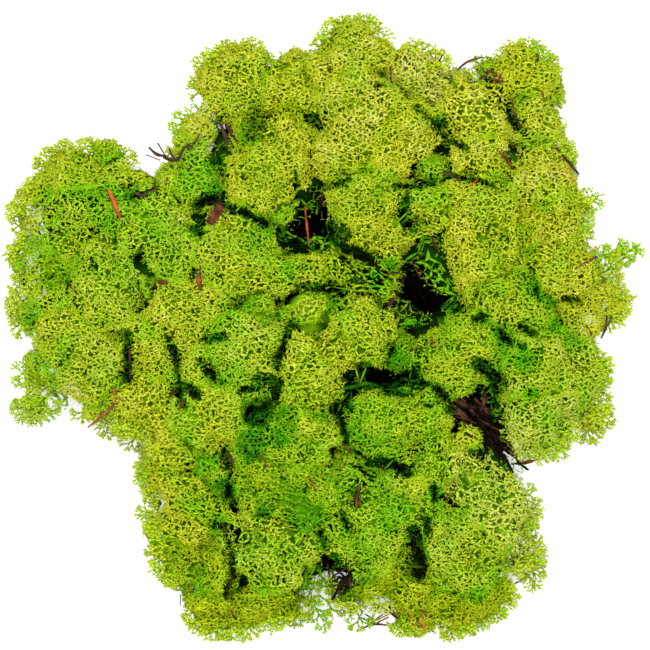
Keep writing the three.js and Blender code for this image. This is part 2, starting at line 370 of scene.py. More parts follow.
def new_material(name, roughness, specular):
    """A material with its node tree in hand, and its shader."""
    global in_hand
    material = bpy.data.materials.new(name)
    material.use_nodes = True
    in_hand = material.node_tree
    shader = in_hand.nodes["Principled BSDF"]
    shader.inputs["Roughness"].default_value = roughness
    shader.inputs["Specular IOR Level"].default_value = specular
    return material, shader


def colour_ramp(factor, stops):
    ramp = node("ValToRGB", factor)
    bar = ramp.color_ramp
    while len(bar.elements) < len(stops):
        bar.elements.new(0.5)
    for element, (position, colour) in zip(bar.elements, stops):
        element.position = position
        element.color = (*colour, 1)
    return ramp.outputs[0]


# The colours of the dyed lichen from the dark of the tuft to its tips, where the dye is green and where it is
# yellow. The piece's own chart holds along U how dark a branch is coloured, which is partly the darker colour
# of old inner stems and partly painted shade of the tuft's inside, its clefts, seams, crevices and sides; it
# holds the strength of the dye along V.
SAME_PLACE = 1e-5
LICHEN_ROUGHNESS = 0.85
GREEN_RAMP = (
    (0.0, (0.002, 0.004, 0.001)), (0.25, (0.010, 0.095, 0.003)), (0.50, (0.050, 0.30, 0.004)),
    (0.72, (0.14, 0.44, 0.005)), (0.90, (0.20, 0.48, 0.008)), (1.0, (0.27, 0.51, 0.020)),
)
YELLOW_RAMP = (
    (0.0, (0.004, 0.004, 0.001)), (0.25, (0.050, 0.110, 0.002)), (0.50, (0.25, 0.38, 0.003)),
    (0.72, (0.45, 0.51, 0.012)), (0.90, (0.52, 0.55, 0.032)), (1.0, (0.58, 0.59, 0.11)),
)
lichen, lichen_shader = new_material("dyed_lichen", LICHEN_ROUGHNESS, 0.0)
chart = node("SeparateXYZ", made("UVMap", uv_map="OFBake")).outputs
dyed = node("Mix", {
    0: chart["Y"], 6: colour_ramp(chart["X"], GREEN_RAMP), 7: colour_ramp(chart["X"], YELLOW_RAMP),
}, data_type="RGBA").outputs[2]
in_hand.links.new(dyed, lichen_shader.inputs["Base Color"])
# Felted branches share the light of their surroundings: they face half their own way and half upwards.
shared_facing = node("NewGeometry").outputs["Normal"] * (0.5, 0.5, 0.5) + (0.0, 0.0, 0.5)
in_hand.links.new(
    made("VectorMath", shared_facing, operation="NORMALIZE"), lichen_shader.inputs["Normal"])


# The stems under the nets, level by level inwards: spacing of the branch ends over the head's surface and
# their depth under it, both in cells of the net; radius in mm; depth colour, which darkens inwards partly as
# the colour of older stems and partly as painted shade.
LEVELS = (
    (3.2, 1.6, 0.36, 0.84), (5.0, 4.0, 0.48, 0.68), (9.0, 7.0, 0.66, 0.44), (17.0, 10.0, 0.95, 0.18),
)
LEVEL_SEEDS_APART = 17
STEMS_FACE_UP = 0.15
DEEPEST_IN_HEAD = 0.36
ROOT_UNDER_JOINT = 12 * MM
TOP_NET = {"cells": 1.0, "sink": 0.0, "radius": 0.175 * MM, "shade": 0.90, "tint": 0.05, "seed": 400}
DEEP_NET = {"cells": 1.55, "sink": 0.55 * MM, "radius": 0.54 * MM, "shade": 0.93, "tint": -0.14, "seed": 500}
DEEP_NET_BROKEN = 0.12
TIP_RADIUS = 0.20 * MM
RAGGED = 3.0 * MM
RAY_LENGTH = 0.3
LOWEST_BRANCH = 0.2 * MM

# Black gaps between and in the heads, as lines in the clump's plan, in mm: half width and the line's points.
# Along them the skin is pitted and thinned, and the branches are coloured darker and greener as painted
# shade.
PLAN_SHIFT = Vector((1.387, 0.970, 0))
CREVICES = (
    # north-east
    (0.8, (31, 74), (34, 71), (38, 68), (40, 64)), (1.2, (41, 64), (47, 60)), (1.0, (59.5, 76), (60, 73)),
    (1.0, (41, 52), (45, 50), (52, 49), (57, 47)), (1.2, (24, 47), (32, 47), (37, 48)),
    (1.0, (0, 46), (4, 48), (8, 49)), (3.4, (-1, 33), (6, 30)), (2.2, (9, 26), (14, 23)),
    (1.0, (-3, 43), (-2, 39)), (1.6, (28, 43), (26, 37), (30, 32)), (1.6, (62, 72), (67, 67)),
    (2.5, (31, 10), (38, 8), (45, 6)), (1.2, (27, 20), (30, 16)), (1.5, (51, 2), (54, 3)),
    (0.8, (50, 8), (51, 10)), (0.8, (56, 33), (56.4, 33)), (0.7, (61, 30), (61.4, 30)),
    (0.2, (69, 34), (70, 28)), (0.3, (71, 20), (71, 14), (73, 8)), (1.3, (82, 9), (87, 8)),
    (1.2, (67, 0), (70, -3)), (0.8, (17, 81), (22, 81)), (1.2, (42, 85), (44, 82)),
    (0.6, (56, 84), (60, 83)),
    # north-west
    (1.8, (-45, 33), (-42, 31)), (2.1, (-43, 41), (-38, 43), (-35, 39)),
    (1.5, (-34, 40), (-27, 38), (-20, 34)), (1.0, (-66, 43), (-58, 46)), (0.9, (-10, 52), (-9, 45)),
    (1.5, (-9, 13), (0, 12.5), (5, 12)), (0.8, (-71, 27), (-71, 30)), (0.8, (-63, 22), (-63, 25)),
    (0.8, (-45, 15), (-44, 18)), (0.8, (-79, 20), (-79, 22)), (1.3, (-14, 31), (-8, 27)),
    (1.0, (-2, 26), (-14, 24)),
    # south-west
    (1.8, (-67, -3), (-67, -18)), (1.3, (-53, -5), (-50, -12), (-50, -20), (-48, -27)),
    (1.8, (-46, -21), (-43, -24)), (1.4, (-40, -5), (-34, -4)), (1.2, (-42, -12), (-40, -15), (-38, -18)),
    (1.6, (-11.5, 0), (-14, -6), (-16, -14)), (2.8, (-22, -19), (-17, -19), (-17, -23)),
    (1.2, (-28, -22), (-21, -21)), (1.9, (-34, -43), (-33.5, -48)), (1.2, (-33, -55), (-33, -57)),
    (1.0, (-33, -74), (-31, -79)), (1.5, (-37, -68), (-33, -69)), (0.9, (-31, -79), (-32, -84)),
    (1.0, (-31, -84), (-34, -92)), (1.2, (-2, -70), (0, -76)), (3.4, (2, -80), (6, -85), (5, -89)),
    # south-east
    (3.6, (13, -15), (18, -18.5), (23, -21)), (2.2, (23, -20), (30, -16)), (0.9, (21, -12), (23, -7)),
    (1.6, (8, -18), (8, -28)), (1.6, (3, -28), (7, -36), (7, -40)), (1.2, (30, -20), (36, -20)),
    (2.5, (52, -13), (57, -17), (60, -20)), (1.2, (60, -22), (58, -26)), (1.8, (37.5, -21), (41, -25)),
    (3.0, (43, -28), (49, -29.5), (55, -32)), (2.0, (55, -33), (60, -40), (63, -44.5)),
    (1.4, (-37, 69), (-34, 66)), (0.9, (-36, 57), (-34, 50)), (1.3, (61, -5), (67, -7)),
    (2.1, (18, -46), (24, -47.5), (28, -50)), (1.2, (2, -43), (4, -43)), (1.0, (7, -43), (12, -43)),
    (1.3, (11, -57), (11, -61)), (1.0, (37, -55), (37, -59)), (1.2, (35, -66), (35, -71)),
    (2.3, (30, -70), (32, -76), (33, -85)), (0.9, (34, -27), (35, -27)), (1.0, (6, -66), (7, -70)),
)
# Where the colour differs: x, y, reach in mm, change of tint, change of shade. The tint is the dye; the shade
# is partly patches of darker and paler dye, and partly painted shade in valleys and gaps and painted light
# over some seams.
DYE_AND_SHADE_SPOTS = (
    (-47, 48, 6, -0.45, -0.05), (-38, 45, 6, -0.55, -0.22), (-38, 54, 6, -0.30, 0.02),
    (-28, 39, 5, -0.20, -0.15), (-25, 66, 7, -0.30, -0.50), (-12, 18, 5, -0.35, 0.0),
    (-100, 5, 6, -0.35, 0.0), (17, 15, 4.5, -0.50, -0.05), (5, 7, 7, -0.45, 0.0),
    (38.5, 69, 3, -0.8, -0.35), (14, 54, 4, -0.35, -0.20), (68, 32, 4, -0.40, -0.20),
    (71, 26, 4, -0.40, -0.25), (71, 13, 4, -0.45, -0.25), (22, 22, 4, -0.45, -0.15),
    (79, 0, 5, -0.40, -0.10), (84, -6, 5, -0.35, -0.10), (76, 8, 4, -0.40, -0.20),
    (10, -38, 7, -0.20, 0.0), (15, -45, 6, -0.30, 0.0), (26, -64, 5, -0.30, 0.0),
    (52, -92, 4, -0.45, -0.1), (-88, -7, 5, -0.35, -0.05), (-40, -48, 6, -0.50, -0.10),
    (-44, -62, 7, -0.30, -0.15), (-22, -30, 9, -0.40, -0.50), (-24, -40, 8, -0.35, -0.44),
    (-16, -38, 6, -0.30, -0.25), (-35, -56, 6, -0.50, -0.40), (-5, -12, 4, -0.20, 0.0),
    (-28, -15, 5, -0.20, 0.0), (-37, -68, 6, -0.50, -0.25), (-21, -64, 4, -0.40, -0.25),
    (37, -57, 4, -0.45, -0.25), (10, 24, 7, 0.45, -0.20), (21, 24, 7, 0.35, -0.04),
    (29, 20, 6, 0.30, -0.15), (27, 10, 6, 0.35, -0.25), (60, 12, 3, -0.3, -0.1), (2, 12, 5, 0.25, -0.30),
    (-7, 5, 6, 0.0, 0.12), (-4, -1, 4, 0.0, 0.15), (23, 0, 5, 0.35, 0.0), (-6, 20, 4, -0.2, -0.2),
    (61, -3, 5, -0.35, -0.2), (35, 4, 5, 0.30, -0.30), (34, -2, 4, 0.10, -0.25), (22, -8, 4, 0.10, -0.35),
    (56, -17, 5, 0.30, 0.0), (69, -13, 7, -0.40, -0.32), (70, -23, 4, -0.40, -0.20),
    (28, -4, 6, 0.10, -0.25), (24, -13, 7, -0.15, -0.30), (8, -92, 8, 0.0, -0.25),
    (25, -88, 6, 0.05, -0.12), (45, -95, 6, 0.0, -0.08), (-30, -92, 6, 0.0, -0.1),
    (66, 74, 6, -0.25, -0.15), (50, 78, 7, 0.15, 0.05), (32, 63, 7, 0.15, 0.10), (36, 79, 5, 0.1, 0.10),
    (-12, 86, 5, 0.1, 0.08), (-12, 73, 5, 0.0, -0.25), (-66, 46, 5, -0.2, -0.2), (-40, 60, 5, 0.2, 0.22),
    (63, 59, 4, 0.1, 0.16), (-19, 33, 5, -0.1, -0.25), (-80, 21, 7, -0.40, -0.12),
    (-73, 45, 5, -0.35, -0.08), (-32, 11, 5, 0.25, 0.12), (-59, 46, 4, -0.1, -0.15),
    (83, -29, 6, 0.0, 0.08), (-13, -33, 6, -0.30, -0.28), (22, -68, 5, -0.20, -0.15),
    (-66, 18, 5, 0.1, 0.12), (-8, 27, 6, 0.2, -0.38), (-60, -50, 5, 0.25, 0.06), (29, -84, 5, 0.0, -0.30),
    (17, 72, 6, 0.12, 0.04), (60, -64, 7, 0.15, 0.05), (-55, -38, 6, 0.2, 0.05), (96, 8, 5, 0.2, -0.1),
    (46, -56, 5, 0.0, 0.0), (-95, 25, 6, 0.0, -0.05), (-75, 3, 5, -0.2, -0.15), (-10, -95, 6, 0.0, -0.15),
)


def in_plan(points):
    return [(Vector((*point, 0)) + PLAN_SHIFT) * MM for point in points]


def plan_object(name, rows, attributes):
    """A mesh in the plan for a tree to measure against: rows of (values, points), one line each."""
    work = bmesh.new()
    layers = [work.verts.layers.float.new(attribute) for attribute in attributes]
    for values, points in rows:
        line = [work.verts.new(place) for place in in_plan(points)]
        for vertex in line:
            for layer, value in zip(layers, values):
                vertex[layer] = value
        for pair in itertools.pairwise(line):
            work.edges.new(pair)
    return placed(name, mesh_of(work, name))


crevices = plan_object("crevices", [((half * MM,), line) for half, *line in CREVICES], ("reach",))
dye_spots = plan_object("dye_spots", [
    ((reach * MM, tint, shade), [(x, y)]) for x, y, reach, tint, shade in DYE_AND_SHADE_SPOTS
], ("reach", "tint_change", "shade_change"))

# A rod of four triangles is a tetrahedron with an edge across at each end. A tip forks in two: a pair of
# pointed prongs of four triangles each, that lean apart.
TIP_LEAN = 2.3
rod = shape_of(
    "rod", [(1, 0, 0), (-1, 0, 0), (0, 1, 1), (0, -1, 1)], [(0, 2, 3), (1, 3, 2), (0, 1, 2), (0, 3, 1)])
forked_tip = shape_of("forked_tip", [
    (-0.7, 0.8, 0), (-0.7, -0.8, 0), (1.0, 0, 0), (TIP_LEAN, 0.5, 1),
    (0.7, 0.8, 0), (0.7, -0.8, 0), (-1.0, 0, 0), (-TIP_LEAN, -0.5, 0.9),
], [(0, 1, 3), (1, 2, 3), (2, 0, 3), (0, 2, 1), (4, 7, 5), (5, 7, 6), (6, 7, 4), (4, 5, 6)])

tuft_tree, tuft_in = new_tree("lichen_tuft", {
    "Other heads": "Object", "Crevices": "Object", "Dye spots": "Object", "Rod": "Object", "Tip": "Object",
    "Head number": 0, "Seed": 0, "Cell": 1.06 * MM, "Thickness": 1.0, "Lump size": 10 * MM,
    "Lump height": 6.5 * MM, "Swell by neighbours": 2.6 * MM, "Swell in the open": -2.5 * MM,
    "Openness": 0.35, "Broken lines": 0.60, "Share of tips": 0.60, "Tip length": 1.15 * MM,
    "Lowest facing": -0.45, "Tint": 0.5, "Core depth": 0.40, "Core shade": 0.36, "Pit depth": 9.0 * MM,
    "Shade change": 0.0, "Grain": 0.65 * MM, "Core grain": 2.4 * MM, "Material": "Material",
})

# The gap nearest to each place, with a ragged edge.
here = made("InputPosition")
normal = made("InputNormal")
facing = up_part(normal)
flat_here = here * (1.0, 1.0, 0.0)
plan = thing(tuft_in["Crevices"])
to_crevice = distance_to(plan, "EDGES", Sample_Position=flat_here)
half_width = taken(plan, read("reach"), nearest(plan, flat_here, "EDGE"), "FLOAT", "EDGE")
ragged = (speckle(here, 330.0) - 0.5) * RAGGED
in_crevice = between(
    to_crevice + ragged - half_width, -0.8 * MM, 0.5 * MM, 1.0, 0.0, interpolation_type="SMOOTHSTEP")

# The dye and the shade from the nearest spot, by how near it is: the spots' shade is partly painted shade and
# painted light, and the crevices add painted shade of their own.
dye_and_shade_plan = thing(tuft_in["Dye spots"])
that_spot = nearest(dye_and_shade_plan, flat_here)
to_spot = distance_to(dye_and_shade_plan, "POINTS", Sample_Position=flat_here)


def of_spot(attribute):
    return taken(dye_and_shade_plan, read(attribute), that_spot)


spot_strength = between(
    (to_spot + ragged) / of_spot("reach"), 0.35, 1.05, 1.0, 0.0, interpolation_type="SMOOTHSTEP")
local_tint = spot_strength * of_spot("tint_change")
# Painted shade in the crevices, over the spots' own mix of dye and painted shade.
spot_tone_and_painted_shade = spot_strength * of_spot("shade_change") - in_crevice * 0.55

# Signed distance to the other heads: below nought inside them.
is_own = made("Compare", {
    2: read("head_number", "INT"), 3: tuft_in["Head number"],
}, data_type="INT", operation="EQUAL")
rest = without(thing(tuft_in["Other heads"], transform_space="ORIGINAL"), is_own, "FACE")
near_by = node("Proximity", rest, target_element="FACES").outputs
their_facing = made("SampleNearestSurface", Mesh=rest, Value=normal, data_type="FLOAT_VECTOR")
side = dot(here - near_by["Position"], their_facing)
apart = near_by["Distance"] * made("Math", side, operation="SIGN")

# The head's skin: the node's solid, remeshed evenly, rounded, swollen towards its neighbours and raised
# into lumps, with the gaps pressed in.
ROUNDING = 14
SMALL_LUMPS = 2.3
shell = remeshed(tuft_in["Geometry"], tuft_in["Grain"], 2.0 * MM, tuft_in["Grain"], 0.1)
rounded = put(shell, made("BlurAttribute", Value=here, Iterations=ROUNDING, data_type="FLOAT_VECTOR"))
swell = between(apart, 0.5 * MM, 9.0 * MM, tuft_in["Swell by neighbours"], tuft_in["Swell in the open"])
lump_scale = 1.0 / tuft_in["Lump size"]
warped = here + (speckle(here, 150.0, output="Color") - (0.5, 0.5, 0.5)) * (6.0 * MM)
from_lump, from_small_lump = [
    node("TexVoronoi", Vector=warped, Scale=scale, feature="F1").outputs["Distance"]
    for scale in (lump_scale, lump_scale * SMALL_LUMPS)
]
lump_rise = (0.25 - from_lump * from_lump) * tuft_in["Lump height"]
small_rise = (0.45 - from_small_lump) * (tuft_in["Lump height"] * 0.35)
pit = upright(in_crevice * tuft_in["Pit depth"] * (larger(facing, 0.0) * -1.0))
skin = shifted(
    marked(shifted(rounded, normal * swell), "cell", from_lump), pit + normal * (lump_rise + small_rise))

# Where branches may grow: not inside the next head, not on the foot, few where neither the sky nor the
# outside is in sight, and fewer in the clefts between lumps.
free = between(apart, -0.6 * MM, 0.2 * MM)
above_foot = facing > tuft_in["Lowest facing"]
start = here + normal * (0.5 * MM)


def in_sight(direction):
    ray = node(
        "Raycast", Target_Geometry=rest, Source_Position=start, Ray_Direction=direction,
        Ray_Length=RAY_LENGTH, data_type="FLOAT")
    return 1.0 - ray.outputs["Is Hit"]


sky_seen = in_sight((0.0, 0.0, 1.0)) * between(facing, -0.1, 0.35, 0.15, 1.0)
outward = made("VectorMath", flat_here + (0.0, 0.0, 0.025), operation="NORMALIZE")
outside_seen = in_sight(outward) * between(dot(normal, outward), -0.1, 0.3, 0.0, 0.6)
seen = larger(sky_seen, outside_seen)
cleft = between(read("cell"), 0.42, 0.72, 1.0, 1.0 - tuft_in["Openness"])
outer = free * above_foot * (1.0 - in_crevice * 0.35)
growing = outer * larger(seen, 0.06) * cleft
inner = outer * larger(seen, 0.3)

# The box of the head gives the place of its root.
head_box = node("BoundBox", Geometry=tuft_in["Geometry"]).outputs
box_size = head_box["Max"] - head_box["Min"]
box_middle = (head_box["Min"] + head_box["Max"]) * 0.5
foot_height = up_part(head_box["Min"])
middle_parts = node("SeparateXYZ", box_middle).outputs
foot = made("CombineXYZ", X=middle_parts["X"], Y=middle_parts["Y"], Z=foot_height)
sides = node("SeparateXYZ", box_size).outputs
deepest = smaller(smaller(sides["X"], sides["Y"]), sides["Z"]) * DEEPEST_IN_HEAD

# Painted shade: darker in clefts and seams and on the sides of a head, which get less light, and greener in
# seams and crevices; the dye runs in waves.
tint_wave = (speckle(here, 75.0, 2.0) - 0.5) * 1.9
in_cleft = between(read("cell"), 0.25, 0.75)
in_seam = between(apart, 3.6 * MM, 0.4 * MM)
tone_and_painted_shade = in_cleft * -0.1 + (spot_tone_and_painted_shade + tuft_in["Shade change"]) + in_seam * -0.14
base_tint = tuft_in["Tint"] + tint_wave + local_tint - larger(in_seam, in_crevice) * 0.22
rod_shape = thing(tuft_in["Rod"])
tip_shape = thing(tuft_in["Tip"])


# Painted shade: branches that face sideways are coloured darker.
def painted_side_shade(vector):
    return between(up_part(vector), 0.85, -0.3) * -0.16


def rods_at(points, shape, turn, radius, length, seed):
    """One rod or tip on every point."""
    width = tuft_in["Thickness"] * radius * random_figure(0.8, 1.2, seed)
    return made(
        "InstanceOnPoints", Points=points, Instance=shape, Rotation=turn, Scale=stick_size(width, length))


joint_mark = read("joint", "FLOAT_VECTOR")
levels = []
for number, (spacing, depth, *_) in enumerate(LEVELS):
    gap = tuft_in["Cell"] * spacing
    amount = outer * (facing > STEMS_FACE_UP) if number else inner
    sown = scattered(skin, gap, amount, tuft_in["Seed"] + number * LEVEL_SEEDS_APART)
    own_facing = sown["Normal"]
    inward = smaller(tuft_in["Cell"] * depth, deepest) * -1.0
    wander = random_arrow(tuft_in["Seed"] + (100 + number)) * (gap * 0.18)
    joint = here + own_facing * inward + upright(inward * 0.25) + wander
    # The stems' colour: the head's tone and painted shade, painted shade on stems that face sideways, and
    # random tone.
    shift = tone_and_painted_shade + painted_side_shade(own_facing) + random_figure(-0.08, 0.05, 70 + number)
    stems = marked(marked(sown["Points"], "joint", joint, "FLOAT_VECTOR"), "shift", shift)
    stems = marked(stems, "tint", base_tint + random_figure(-0.42, -0.18, 5 + number))
    from_middle = made("VectorMath", joint_mark - box_middle, operation="ABSOLUTE")
    past_box = node("SeparateXYZ", from_middle - box_size * 0.5).outputs
    levels.append(without(stems, larger(past_box["X"], past_box["Y"]) > -1.5 * MM))

# Every stem runs to the nearest joint of the level under it, and the lowest to the root.
root_height = larger(foot_height + 1.0 * MM, up_part(joint_mark) - ROOT_UNDER_JOINT)
parents = [
    taken(under, joint_mark, nearest(under, here), "FLOAT_VECTOR") for under in levels[1:]
] + [joint_mark * (0.5, 0.5, 0.0) + foot * (0.5, 0.5, 0.0) + upright(root_height)]
branches = []
for number, (spacing, _, radius, level_shade) in enumerate(LEVELS):
    growth = joint_mark - parents[number]
    length = length_of(growth)
    kept = marked(marked(levels[number], "turn", pointing(growth), "QUATERNION"), "length", length)
    too_long = length > tuft_in["Cell"] * spacing * 2.6 + 1.0 * MM
    branches.append(rods_at(
        without(put(kept, parents[number]), too_long), marked(rod_shape, "shade", level_shade),
        read("turn", "QUATERNION"), radius * MM, read("length"), 50 + number))


def net_of_branches(cells, sink, radius, shade, tint, seed, broken, with_tips):
    """A net over the head: each point of the skin is drawn to the nearest of a set of evenly scattered
    points, which leaves a mesh between them, and the outlines of its dual are the branches."""
    cell = tuft_in["Cell"] * cells
    cell_points = scattered(skin, cell, growing, tuft_in["Seed"] + seed)["Points"]
    drawn = put(
        without(skin, outer < 0.3), taken(cell_points, here, nearest(cell_points, here), "FLOAT_VECTOR"))
    net = made(
        "DualMesh", Mesh=made("MergeByDistance", Geometry=drawn, Distance=0.01 * MM), Keep_Boundaries=True)
    net = marked(net, "net_normal", normal, "FLOAT_VECTOR")
    net = marked(net, "lift", random_figure(-0.55, 0.25, seed + 1))
    outwards = read("net_normal", "FLOAT_VECTOR")
    lift = read("lift") * (cell * 0.9) - sink
    net = shifted(net, random_arrow(seed + 2) * (cell * 0.18) + outwards * lift)
    # Painted shade: lower joints of the net are coloured darker, as are nets that face sideways; with random
    # tone and the head's tone.
    spread = random_figure(-0.08, 0.06, seed + 3) + read("lift") * 0.25
    net = marked(net, "shift", tone_and_painted_shade + painted_side_shade(outwards) + spread)
    net = marked(net, "tint", base_tint + random_figure(tint - 0.12, tint + 0.12, seed + 4))
    lines, line_start, run_length = with_runs(without(net, True, "FACE", mode="ONLY_FACE"))
    unfit = larger(run_length > cell * 1.9, run_length < cell * 0.15)
    kept_lines = without(lines, larger(chance(broken, seed + 5), unfit), "EDGE", mode="EDGE_FACE")
    grown = [rods_at(
        made("MeshToPoints", Mesh=kept_lines, Position=line_start, mode="EDGES"),
        marked(rod_shape, "shade", shade), read("turn", "QUATERNION"), radius, read("length"), seed + 6)]
    if with_tips:
        with_tip = chance(tuft_in["Share of tips"], seed + 7)
        tip_shade = shade + up_part(here) * (1.0 - shade)
        grown.append(rods_at(
            made("MeshToPoints", Mesh=lines, Selection=with_tip, mode="VERTICES"),
            marked(tip_shape, "shade", tip_shade), pointing(outwards * 0.5 + random_arrow(seed + 8)),
            TIP_RADIUS, tuft_in["Tip length"] * random_figure(0.6, 1.2, seed + 9), seed + 10))
    return grown


branches += net_of_branches(broken=tuft_in["Broken lines"], with_tips=True, **TOP_NET)
branches += net_of_branches(broken=DEEP_NET_BROKEN, with_tips=False, **DEEP_NET)

# The felted dead inside of the head, which closes it to the light. It stands for the dense inner stems: its
# dark colour is partly their own and partly painted shade of the tuft's inside, darker still on its underside
# and in crevices, with random tone.
core = remeshed(skin, 1.3 * MM, 8.0 * MM, tuft_in["Core grain"], tuft_in["Core depth"])
core_rough = (speckle(here, 220.0, output="Color") - (0.5, 0.5, 0.5)) * (2.0 * MM)
core = shifted(core, normal * between(facing, 0.7, 0.1, 0.0, 2.0 * MM) + core_rough)
core_tone_and_painted_shade = (speckle(here, 420.0) - 0.52) * 1.3 + (spot_tone_and_painted_shade + between(facing, 0.3, -0.2, 0.0, -0.25))
core = marked(marked(core, "shade", tuft_in["Core shade"]), "tint", tuft_in["Tint"] + local_tint)
branches.append(marked(core, "shift", core_tone_and_painted_shade))

now_at = node("SeparateXYZ", here).outputs
held_up = made("CombineXYZ", X=now_at["X"], Y=now_at["Y"], Z=larger(now_at["Z"], LOWEST_BRANCH))
end_tree(
    put(joined(branches), held_up), made("Clamp", read("shade") + read("shift"), 0.01, 0.99),
    made("Clamp", read("tint"), 0.01, 0.99),
    ("shade", "tint", "shift", "turn", "length", "joint", "cell", "lift", "net_normal"), tuft_in["Material"])

SPRIG_NODES = ("sprig_east", "sprig_west")
head_names = sorted(name for name in nodes if name.startswith(("head_", "sprig_")))
all_heads = bmesh.new()
head_layer = all_heads.faces.layers.int.new("head_number")
for number, name in enumerate(head_names):
    first = len(all_heads.faces)
    all_heads.from_mesh(nodes[name].data)
    all_heads.faces.ensure_lookup_table()
    for face in all_heads.faces[first:]:
        face[head_layer] = number
heads_mesh = bpy.data.meshes.new("all_heads")
all_heads.to_mesh(heads_mesh)
neighbours = placed("all_heads", heads_mesh)
GIVEN = {
    "Other heads": neighbours, "Crevices": crevices, "Dye spots": dye_spots, "Rod": rod, "Tip": forked_tip,
    "Material": lichen,
}

# What sets a kind of tuft apart from the dense one.
MAKES = {
    "dense": {},
    "coarse": {
        "Cell": 1.28 * MM, "Thickness": 1.05, "Openness": 0.45, "Lump height": 7.5 * MM,
        "Core depth": 0.5, "Tip length": 1.6 * MM,
    },
    "lace": {"Cell": 1.0 * MM, "Core depth": 2.0, "Broken lines": 0.2},
    "airy": {"Core depth": 1.6, "Openness": 0.55, "Broken lines": 0.5},
    "tangle": {
        "Cell": 1.6 * MM, "Thickness": 1.0, "Openness": 0.6, "Lump height": 9 * MM, "Core depth": 0.6,
        "Core shade": 0.08, "Swell by neighbours": 5 * MM, "Swell in the open": 3 * MM,
        "Tip length": 1.5 * MM,
    },
}
# Strength of the yellow in the dye, and how much lighter or darker each head is coloured.
DYES = {"yellow": 1.0, "lime": 0.9, "fresh": 0.75, "leaf": 0.6, "deep": 0.46}
SHADES = {"pale": 0.15, "bright": 0.06, "plain": 0.0, "dull": -0.06, "shadowed": -0.17}
LOOKS = {
    "head_north_west_crown": ("lime", "dense", "plain"),
    "head_north_west_inner": ("yellow", "dense", "dull"),
    "head_north_west_dome": ("lime", "dense", "plain"), "head_north_west_low": ("deep", "dense", "plain"),
    "head_west_shoulder": ("fresh", "dense", "plain"), "head_west_rim": ("leaf", "airy", "plain"),
    "head_west_inner": ("deep", "dense", "bright"), "head_west_high": ("leaf", "dense", "plain"),
    "head_west_point": ("deep", "airy", "dull"), "head_west_middle": ("leaf", "dense", "bright"),
    "head_north_crown": ("lime", "dense", "bright"), "head_north_east_edge": ("yellow", "dense", "pale"),
    "head_north_branchy": ("yellow", "coarse", "bright"), "head_north_dome": ("lime", "dense", "bright"),
    "head_north_inner": ("yellow", "dense", "plain"),
    "head_north_east_corner": ("yellow", "dense", "dull"),
    "head_north_east_side": ("lime", "dense", "bright"), "head_east_shoulder": ("lime", "dense", "bright"),
    "head_centre_north": ("fresh", "dense", "plain"), "head_east_inner": ("lime", "dense", "plain"),
    "head_east_side": ("lime", "dense", "plain"), "head_east_hollow": ("leaf", "dense", "plain"),
    "head_east_lace": ("yellow", "lace", "plain"),
    "head_south_west_shoulder": ("fresh", "dense", "bright"),
    "head_centre_west": ("fresh", "dense", "plain"), "head_centre_ridge": ("deep", "dense", "bright"),
    "head_south_west_rim": ("lime", "dense", "plain"), "head_south_west_dome": ("leaf", "dense", "plain"),
    "head_south_west_low": ("fresh", "dense", "plain"), "head_centre_south": ("deep", "dense", "plain"),
    "head_south_inner": ("deep", "dense", "shadowed"), "head_south_net": ("leaf", "coarse", "bright"),
    "head_south_west_foot": ("fresh", "dense", "shadowed"),
    "head_south_rim": ("yellow", "dense", "shadowed"), "head_centre_tongue": ("fresh", "coarse", "plain"),
    "head_centre_hollow": ("fresh", "tangle", "shadowed"), "head_centre_east": ("deep", "dense", "dull"),
    "head_east_rim": ("leaf", "dense", "bright"), "head_east_dome": ("leaf", "dense", "pale"),
    "head_south_east_inner": ("deep", "dense", "dull"), "head_south_east_side": ("leaf", "coarse", "pale"),
    "head_south_east_crown": ("leaf", "dense", "bright"), "head_south_middle": ("deep", "dense", "plain"),
    "head_south_foot": ("yellow", "dense", "shadowed"),
    "head_south_east_foot": ("yellow", "dense", "shadowed"),
}
HEAD_SEEDS_APART = 31

for number, name in enumerate(head_names):
    if name in SPRIG_NODES:
        continue
    dye, make, shade = LOOKS[name]
    tuft = run_tree(mesh_of(merged(name), name), tuft_tree, {
        **GIVEN, "Head number": number, "Seed": number * HEAD_SEEDS_APART, "Tint": DYES[dye],
        "Shade change": SHADES[shade], **MAKES[make],
    }, name.replace("head", "tuft"))
    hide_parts(name)
west_sprig = run_tree(mesh_of(merged("sprig_west"), "sprig_west"), tuft_tree, {
    **GIVEN, "Head number": head_names.index("sprig_west"), "Seed": 5, "Tint": 0.4, "Shade change": -0.06,
    "Cell": 1.0 * MM, "Swell in the open": -1.0 * MM, "Lump height": 5 * MM, "Core depth": 2.0,
}, "tuft_sprig_west")


